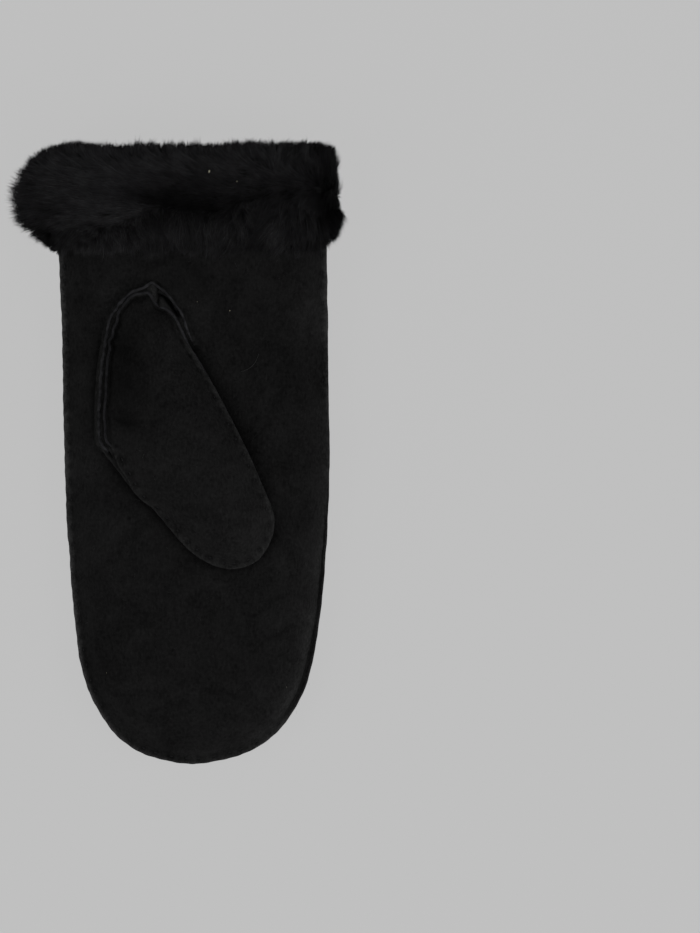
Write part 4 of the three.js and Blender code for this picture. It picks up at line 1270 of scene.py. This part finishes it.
# How light the wool is painted on the palm side, against its left end, with its own tone and with painted
# shade, most at the right end: x, y and the share
WOOL_TONE_AND_SHADE = [
    (-60, 118, 0.88), (-52, 128, 0.88), (-45, 118, 0.79), (-45, 104, 0.74), (-30, 125, 0.84),
    (-30, 112, 0.71), (-20, 129, 0.92), (-20, 118, 0.67), (-20, 102, 0.78), (0, 130, 0.84), (0, 122, 0.67),
    (8, 115, 0.43), (18, 126, 0.8), (26, 116, 0.59), (30, 130, 0.84), (42, 124, 0.8), (42, 112, 0.67),
    (50, 118, 0.59), (58, 126, 0.55), (63, 116, 0.38), (68, 126, 0.23), (70, 112, 0.23), (66, 120, 0.29),
    (66, 102, 0.29), (55, 105, 0.84), (-66, 103, 0.55), (-64, 97, 0.26), (-59, 92, 0.3), (-51, 94, 0.76),
    (-45, 95, 0.98), (-45, 91, 0.85), (-24, 95, 0.85), (-21, 91, 0.8), (-9, 98, 0.47), (4, 97, 0.72),
    (-1, 90, 0.9), (18, 98, 0.98), (24, 103, 0.98), (34, 94, 0.3), (43, 95, 0.86), (48, 103, 0.45),
    (57, 95, 0.6), (63, 100, 0.36), (38, 110.5, 0.45), (47, 110, 0.45), (41, 102, 0.5),
]
VALLEY_SHADE = [  # x, y, how dark the painted shade is, and how far it reaches up and down, where the roll ends in the parting
    (-80, 111, 0, 4, 2), (-26, 111, 0, 4, 2), (-20, 110.5, 0.65, 5, 2.5), (-12, 109, 0.82, 8, 4),
    (-6, 108, 0.87, 9, 5), (5, 106, 0.87, 9, 6), (15, 104.5, 0.87, 10, 5), (22, 106.5, 0.76, 9.5, 4.5),
    (35, 111, 0.5, 7, 5), (48, 110.5, 0.38, 6, 5), (58, 105, 0.2, 6, 6), (66, 104, 0.6, 8, 9),
    (80, 104, 0.6, 8, 9),
]


def wool_tone_and_shade(points):
    """How light the wool is painted at each point, from 0 to about 1: its own tone, with painted shade in the
    parting and below the roll.
    """
    x, y, z = np.moveaxis(points, -1, 0)
    light = from_anchors(WOOL_TONE_AND_SHADE, points, 2)[0]
    light = light * (1 + (0.25 + 0.35 * smooth(x, 20, 40)) * soft_noise(points, 6, 81))
    at, middle, dark, up, down = as_columns(VALLEY_SHADE)
    away = y - np.interp(x, at, middle) + 1.2 * soft_noise(points, 8, 83)
    away = np.where(away > 0, away / np.interp(x, at, up), away / np.interp(x, at, down))
    light = light * (1 - np.interp(x, at, dark) * bell(away) * smooth(z, 20, 32))
    # painted shade in the thin line of the parting on the left
    narrow = smooth(-x, 10, 16) * (1 - 0.8 * smooth(-x, 36, 48)) * (z > 25)
    light = light * (1 - 0.7 * narrow * bell(y - parting_y(x) + 0.5 * soft_noise(points, 5, 85), 1.3))
    # painted shade on the lower fringe towards the right
    return light * (1 - 0.25 * smooth(-y, -95, -88) * smooth(x, -25, 0))


def hair_material():
    """Hair painted darker towards its root as shade, lighter towards its tip by a share of its own, mottled,
    and lighter or darker lock by lock.
    """
    material, tree, shader = new_material("wool_hair")
    tip, lock = (
        add_node(tree, "ShaderNodeAttribute", attribute_name=name).outputs["Fac"] for name in ("tip", "shade")
    )
    curls = add_node(tree, "ShaderNodeGroup", node_tree=WOOL).outputs[0]
    root_shade_to_tip = between(tree, (0.0044, 0.0044, 0.0045), (0.0285, 0.0285, 0.0297), tip)
    shade = maths(tree, "MULTIPLY", maths(tree, "MULTIPLY_ADD", curls, 0.6, 0.7), lock)
    fill(tree, shader, {
        "Base Color": scaled_by(tree, root_shade_to_tip, shade),
        "Roughness": between(tree, 0.42, 0.55, curls),
        "Specular IOR Level": 0.006,
    })
    return material


HAIR = hair_material()
LOCK_SIZE = 8.0


def one_lock(name, seed, hairs=24):
    """A lock of wool that grows along X and rises along Z, as flat tapering hairs that draw together."""
    random = np.random.default_rng(seed)
    steps = np.array([0, 0.45, 1])
    verts, faces, tips = [], [], []
    wave, lean = random.uniform(0.2, 0.5), random.uniform(-0.5, 0.5)
    for _ in range(hairs):
        x0, y0 = random.uniform(-1.6, 1.6), random.uniform(-1.1, 1.1)
        length, raised = random.uniform(0.5, 1.15), random.uniform(0.6, 1.1)
        own = random.uniform(-0.9, 0.9)
        x = x0 * (1 - 0.25 * steps) + LOCK_SIZE * length * steps**1.35
        y = y0 * (1 - 0.3 * steps) + wave * np.sin(steps * 4 + own) + lean * steps**2 + own * steps
        z = LOCK_SIZE * raised * (1 - (1 - steps) ** 1.5)
        half = 0.095 * (1 - steps) ** 0.5
        twist = random.uniform(-0.5, 0.5)
        start, light = len(verts), random.uniform(0.3, 1.6)
        for k in range(2):
            for way in (-1, 1):
                out = way * half[k]
                verts.append((x[k], y[k] + out * math.cos(twist), z[k] + out * math.sin(twist)))
                tips.append(steps[k] * light)
        verts.append((x[2], y[2], z[2]))
        tips.append(light)
        faces += [(start, start + 2, start + 3, start + 1), (start + 2, start + 4, start + 3)]
    return mesh_piece(name, verts, faces, [HAIR], tip=tips)


def grow_tree(locks):
    """Scatters locks over the roots, laid along their attribute lay and sized by reach and height."""
    kinds = {"Skin": "Geometry", "Density": "Float", "Seed": "Int", "Hair": "Material"}
    tree, given = geometry_tree("grow_locks", {**kinds, **{name: "Object" for name in locks}}, "Wool")

    def chance(kind, low, high, offset):
        """A random value for each root, with a seed of its own."""
        seed = maths(tree, "ADD", given["Seed"], float(offset))
        node = add_node(tree, "FunctionNodeRandomValue", {"Seed": seed}, data_type=kind)
        index = ("FLOAT_VECTOR", "FLOAT", "INT").index(kind)
        sockets = {socket.identifier: socket for socket in node.inputs}
        for name, value in (("Min", low), ("Max", high)):
            sockets[name + ("", "_001", "_002")[index]].default_value = value
        return node.outputs[index]

    def one_of(locks):
        """All the locks as one geometry, an instance of each."""
        choice = tree.nodes.new("GeometryNodeJoinGeometry")
        for name in locks:
            source = add_node(tree, "GeometryNodeObjectInfo", {"As Instance": True, "Object": given[name]})
            tree.links.new(source.outputs["Geometry"], choice.inputs[0])
        return choice.outputs[0]

    places = {"Mesh": given["Skin"], "Density": given["Density"], "Seed": given["Seed"]}
    roots = add_node(tree, "GeometryNodeDistributePointsOnFaces", places).outputs
    astray = chance("FLOAT_VECTOR", (-0.3, -0.3, -0.3), (0.3, 0.3, 0.3), 1)
    lays = {0: attribute(tree, "lay", "FLOAT_VECTOR"), 1: astray}
    strayed = add_node(tree, "ShaderNodeVectorMath", lays).outputs[0]
    axes = {"Primary Axis": roots["Normal"], "Secondary Axis": strayed}
    turn = add_node(tree, "FunctionNodeAxesToRotation", axes, primary_axis="Z", secondary_axis="X").outputs[0]
    longer = chance("FLOAT", 0.75, 1.2, 2)
    size = add_node(tree, "ShaderNodeCombineXYZ", {
        0: maths(tree, "MULTIPLY", attribute(tree, "reach"), longer),
        1: chance("FLOAT", 0.8, 1.25, 3),
        2: maths(tree, "MULTIPLY", attribute(tree, "height"), longer),
    })
    copies = add_node(tree, "GeometryNodeInstanceOnPoints", {
        "Points": roots["Points"], "Instance": one_of(locks), "Pick Instance": True,
        "Instance Index": chance("INT", 0, len(locks) - 1, 4), "Rotation": turn, "Scale": size.outputs[0],
    })
    shade = maths(tree, "MULTIPLY", attribute(tree, "tone"), chance("FLOAT", 0.65, 1.3, 5))
    stored = {"Name": "shade", "Geometry": copies.outputs[0], "Value": shade}
    toned = add_node(tree, "GeometryNodeStoreNamedAttribute", stored, data_type="FLOAT", domain="INSTANCE")
    finish_tree(tree, toned.outputs[0], given["Hair"])
    return tree


def root_mesh(name, points, normals, keep):
    """The part of a grid of roots where keep is set, with the comb's attributes in units of a lock."""
    lay, reach, height = comb(points, normals)
    faces = [face for face in ring_faces(*points.shape[:2], False) if keep.reshape(-1)[face[0]]]
    tips = points + 0.6 * lay * reach[..., None] + normals * height[..., None]
    piece = mesh_piece(name, points.reshape(-1, 3), faces, [],
                       reach=reach / LOCK_SIZE, height=height / LOCK_SIZE, tone=wool_tone_and_shade(tips))
    lays = piece.data.attributes.new("lay", "FLOAT_VECTOR", "POINT")
    lays.data.foreach_set("vector", lay.reshape(-1).astype(np.float32))
    return piece


LOCKS = {f"Lock {k + 1}": one_lock(f"lock_{k + 1}", 200 + k) for k in range(4)}
GROW = grow_tree(LOCKS)
in_mouth = np.tile(on_outside < 0.5, (len(cuff_roots), 1))
faces_up = root_normals[..., 2] > 0.05
left_part = cuff_roots[..., 0] < 8
for name, keep, density, seed in (
    ("cuff_wool_palm_left", faces_up & left_part & ~in_mouth, 0.6, 11),
    ("cuff_wool_palm_right", faces_up & ~left_part & ~in_mouth, 0.6, 12),
    ("cuff_wool_back", ~faces_up & ~in_mouth, 0.19, 13),
    ("cuff_wool_mouth", in_mouth, 0.24, 14),
):
    wool = root_mesh(name, cuff_drawn_up(cuff_roots), root_normals, keep)
    dress(wool, GROW, Density=density / MM**2, Seed=seed, Hair=HAIR, **LOCKS)
    hairs = vertex_values(wool.data)
    hairs[:, 2] = np.maximum(hairs[:, 2], LOWEST_HAIR * MM)
    wool.data.vertices.foreach_set("co", hairs.ravel())
    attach(wool, "root")
for lock in LOCKS.values():
    bpy.data.objects.remove(lock)


# 8. Lint
# Short pale fibres and a few specks of dust cling to the nap and the wool, as on any worn suede. They lie
# loose on it.
FIBRE = 4.0
FINE_FIBRES = 60
LINT = [  # x, y, length, direction in degrees and bend of the fibres that catch the eye
    (30.5, 39, 11, 225, 1), (37.8, 32.2, 3.6, 88, 0), (32.5, 5.2, 4.2, 66, 1), (59, 1, 3.5, 20, 1),
    (-15, -1, 3.8, 72, 0), (0.2, -3, 2.8, 138, 0), (25.6, 81.2, 4.6, 130, 1), (51, 84, 4, 40, 1),
    (-41, -75, 2.6, 30, 0), (20.5, -74, 2.6, 110, 0), (41, 88, 4, 60, 1), (38, 85.5, 4.5, 45, 1),
    (43, 83, 3.5, 55, 1), (-38, -8, 3, 100, 0), (13, -64, 3, 20, 1),
]
SPECKS = [  # x, y and size
    (7.8, 65.5, 0.5), (22, 61.6, 0.75), (13.4, 121.6, 1.5), (25.4, 117.2, 0.7), (46.5, -103.4, 0.4),
    (-32.6, -97, 0.4),
]


def one_fibre(name, bend, radius):
    """A hair along X that lies nearly flat, curved sideways by bend."""
    rings, sides = 9, 3
    verts = []
    for t in np.linspace(-1, 1, rings):
        for k in range(sides):
            turn = 2 * math.pi * k / sides
            verts.append((FIBRE / 2 * t, bend * (1 - t * t) + radius * math.cos(turn),
                          0.06 + 0.05 * t * t + radius * math.sin(turn)))
    faces = grid_faces(rings, sides, ring=True)
    faces += [tuple(range(sides)), tuple(range(rings * sides))[: -sides - 1 : -1]]
    return mesh_piece(name, verts, faces, [], merge=0.001)


def one_speck(name):
    work = bmesh.new()
    bmesh.ops.create_icosphere(work, subdivisions=1, radius=0.3)
    verts = [(1.7 * v.co.x, 0.8 * v.co.y, 0.7 * v.co.z) for v in work.verts]
    faces = [tuple(v.index for v in f.verts) for f in work.faces]
    work.free()
    return mesh_piece(name, verts, faces, [])


def lint_material(name, dark, light):
    """Fibres and dust, each a little paler or darker by where it lies."""
    material, tree, shader = new_material(name)
    colour = between(tree, dark, light, grain_noise(tree, 90))
    fill(tree, shader, {"Base Color": colour, "Roughness": 0.7, "Specular IOR Level": 0.1})
    return material


def resting_on(pieces, x, y):
    """Places on top of some pieces and the direction upright to the surface there."""
    flat = np.column_stack([x, y, 0 * x])
    steps = ((0, 0, 0), (1, 0, 0), (0, 1, 0))
    here, across, up = (surface_under(pieces, flat + step, palm_top(x, y)) for step in steps)
    return np.column_stack([x, y, here]), np.column_stack([here - across, here - up, 1 + 0 * x])


def lay_lint():
    """The fibres that catch the eye and a hundred or so finer ones, then the specks."""
    random = np.random.default_rng(5)
    skins = [palm, thumb_front, turned_skin]
    pale = lint_material("lint", (0.012, 0.012, 0.012), (0.045, 0.045, 0.045))
    dust = lint_material("dust", (0.12, 0.11, 0.08), (0.34, 0.32, 0.24))
    for bend, name in enumerate(("lint_straight", "lint_curved")):
        x, y, length, turn, _ = as_columns(row for row in LINT if row[4] == bend)
        x = np.append(x, random.uniform(-42, 56, FINE_FIBRES))
        y = np.append(y, random.uniform(-118, 84, FINE_FIBRES))
        length = np.append(length, random.uniform(1.2, 3, FINE_FIBRES))
        turn = np.radians(np.append(turn, random.uniform(0, 360, FINE_FIBRES)))
        places, up = resting_on(skins, x, y)
        fibre = one_fibre("fibre", 0.15 + 0.5 * bend, 0.035)
        way = np.column_stack([np.cos(turn), np.sin(turn), 0 * turn])
        laid(name, places, fibre, pale, "suede", slant=0.0, up=up, size=length / FIBRE, way=way)
        bpy.data.objects.remove(fibre)
    x, y, size = as_columns(SPECKS)
    places, up = resting_on(skins, x, y)
    places[:, 2] += 5.5 * (y > 100)  # on top of the cuff's wool
    speck = one_speck("speck")
    way = np.tile((0.2, 1.0, 0.0), (len(x), 1))
    laid("lint_specks", places, speck, dust, "suede", slant=0.5, up=up, size=size, way=way)
    bpy.data.objects.remove(speck)


lay_lint()


# 9. Studio
# A plain pale floor, soft light from both sides, and a camera straight above.
def floor_material():
    material, tree, shader = new_material("floor_paper")
    patches = add_node(tree, "ShaderNodeTexNoise", {"Scale": 3}).outputs["Fac"]
    colour = between(tree, (0.03, 0.03, 0.03), (0.0303, 0.0303, 0.0303), patches)
    fill(tree, shader, {"Base Color": colour, "Emission Color": colour, "Emission Strength": 16.5})
    fill(tree, shader, {"Roughness": 0.9, "Specular IOR Level": 0.0})
    return material


FLOOR_REACH, FLOOR_Z = 3000, -0.3
corners = [(x * FLOOR_REACH, y * FLOOR_REACH, FLOOR_Z) for x, y in ((-1, -1), (1, -1), (1, 1), (-1, 1))]
floor = mesh_piece("floor", corners, [(0, 1, 2, 3)], [floor_material()])


def soft_light(name, place, size, power):
    lamp = bpy.data.lights.new(name, "AREA")
    lamp.shape, lamp.size, lamp.size_y = "RECTANGLE", size[0], size[1]
    lamp.energy = power
    light = bpy.data.objects.new(name, lamp)
    light.location = place
    light.rotation_mode = "QUATERNION"
    light.rotation_quaternion = (Vector((0.05, 0, 0)) - Vector(place)).to_track_quat("-Z", "Y")
    bpy.context.scene.collection.objects.link(light)


soft_light("light_left", (-1.3, -0.5, 1.3), (1.2, 1.6), 17)
soft_light("light_right", (1.4, -0.5, 1.2), (1.2, 1.6), 18)
soft_light("light_foot", (0.2, -1.7, 1.2), (1.6, 1.0), 7)
world = bpy.data.worlds.new("studio")
world.use_nodes = True
world.node_tree.nodes["Background"].inputs["Color"].default_value = (1, 1, 1, 1)
world.node_tree.nodes["Background"].inputs["Strength"].default_value = 0.34
bpy.context.scene.world = world
bpy.context.scene.view_settings.view_transform = "Standard"

camera_data = bpy.data.cameras.new("camera")
camera_data.sensor_fit = "HORIZONTAL"
camera_data.sensor_width = 36
camera_data.lens = 233.8
camera_data.clip_end = 20
camera = bpy.data.objects.new("camera", camera_data)
camera.location = (0.0744, -0.0064, 2.02)
bpy.context.scene.collection.objects.link(camera)
bpy.context.scene.camera = camera
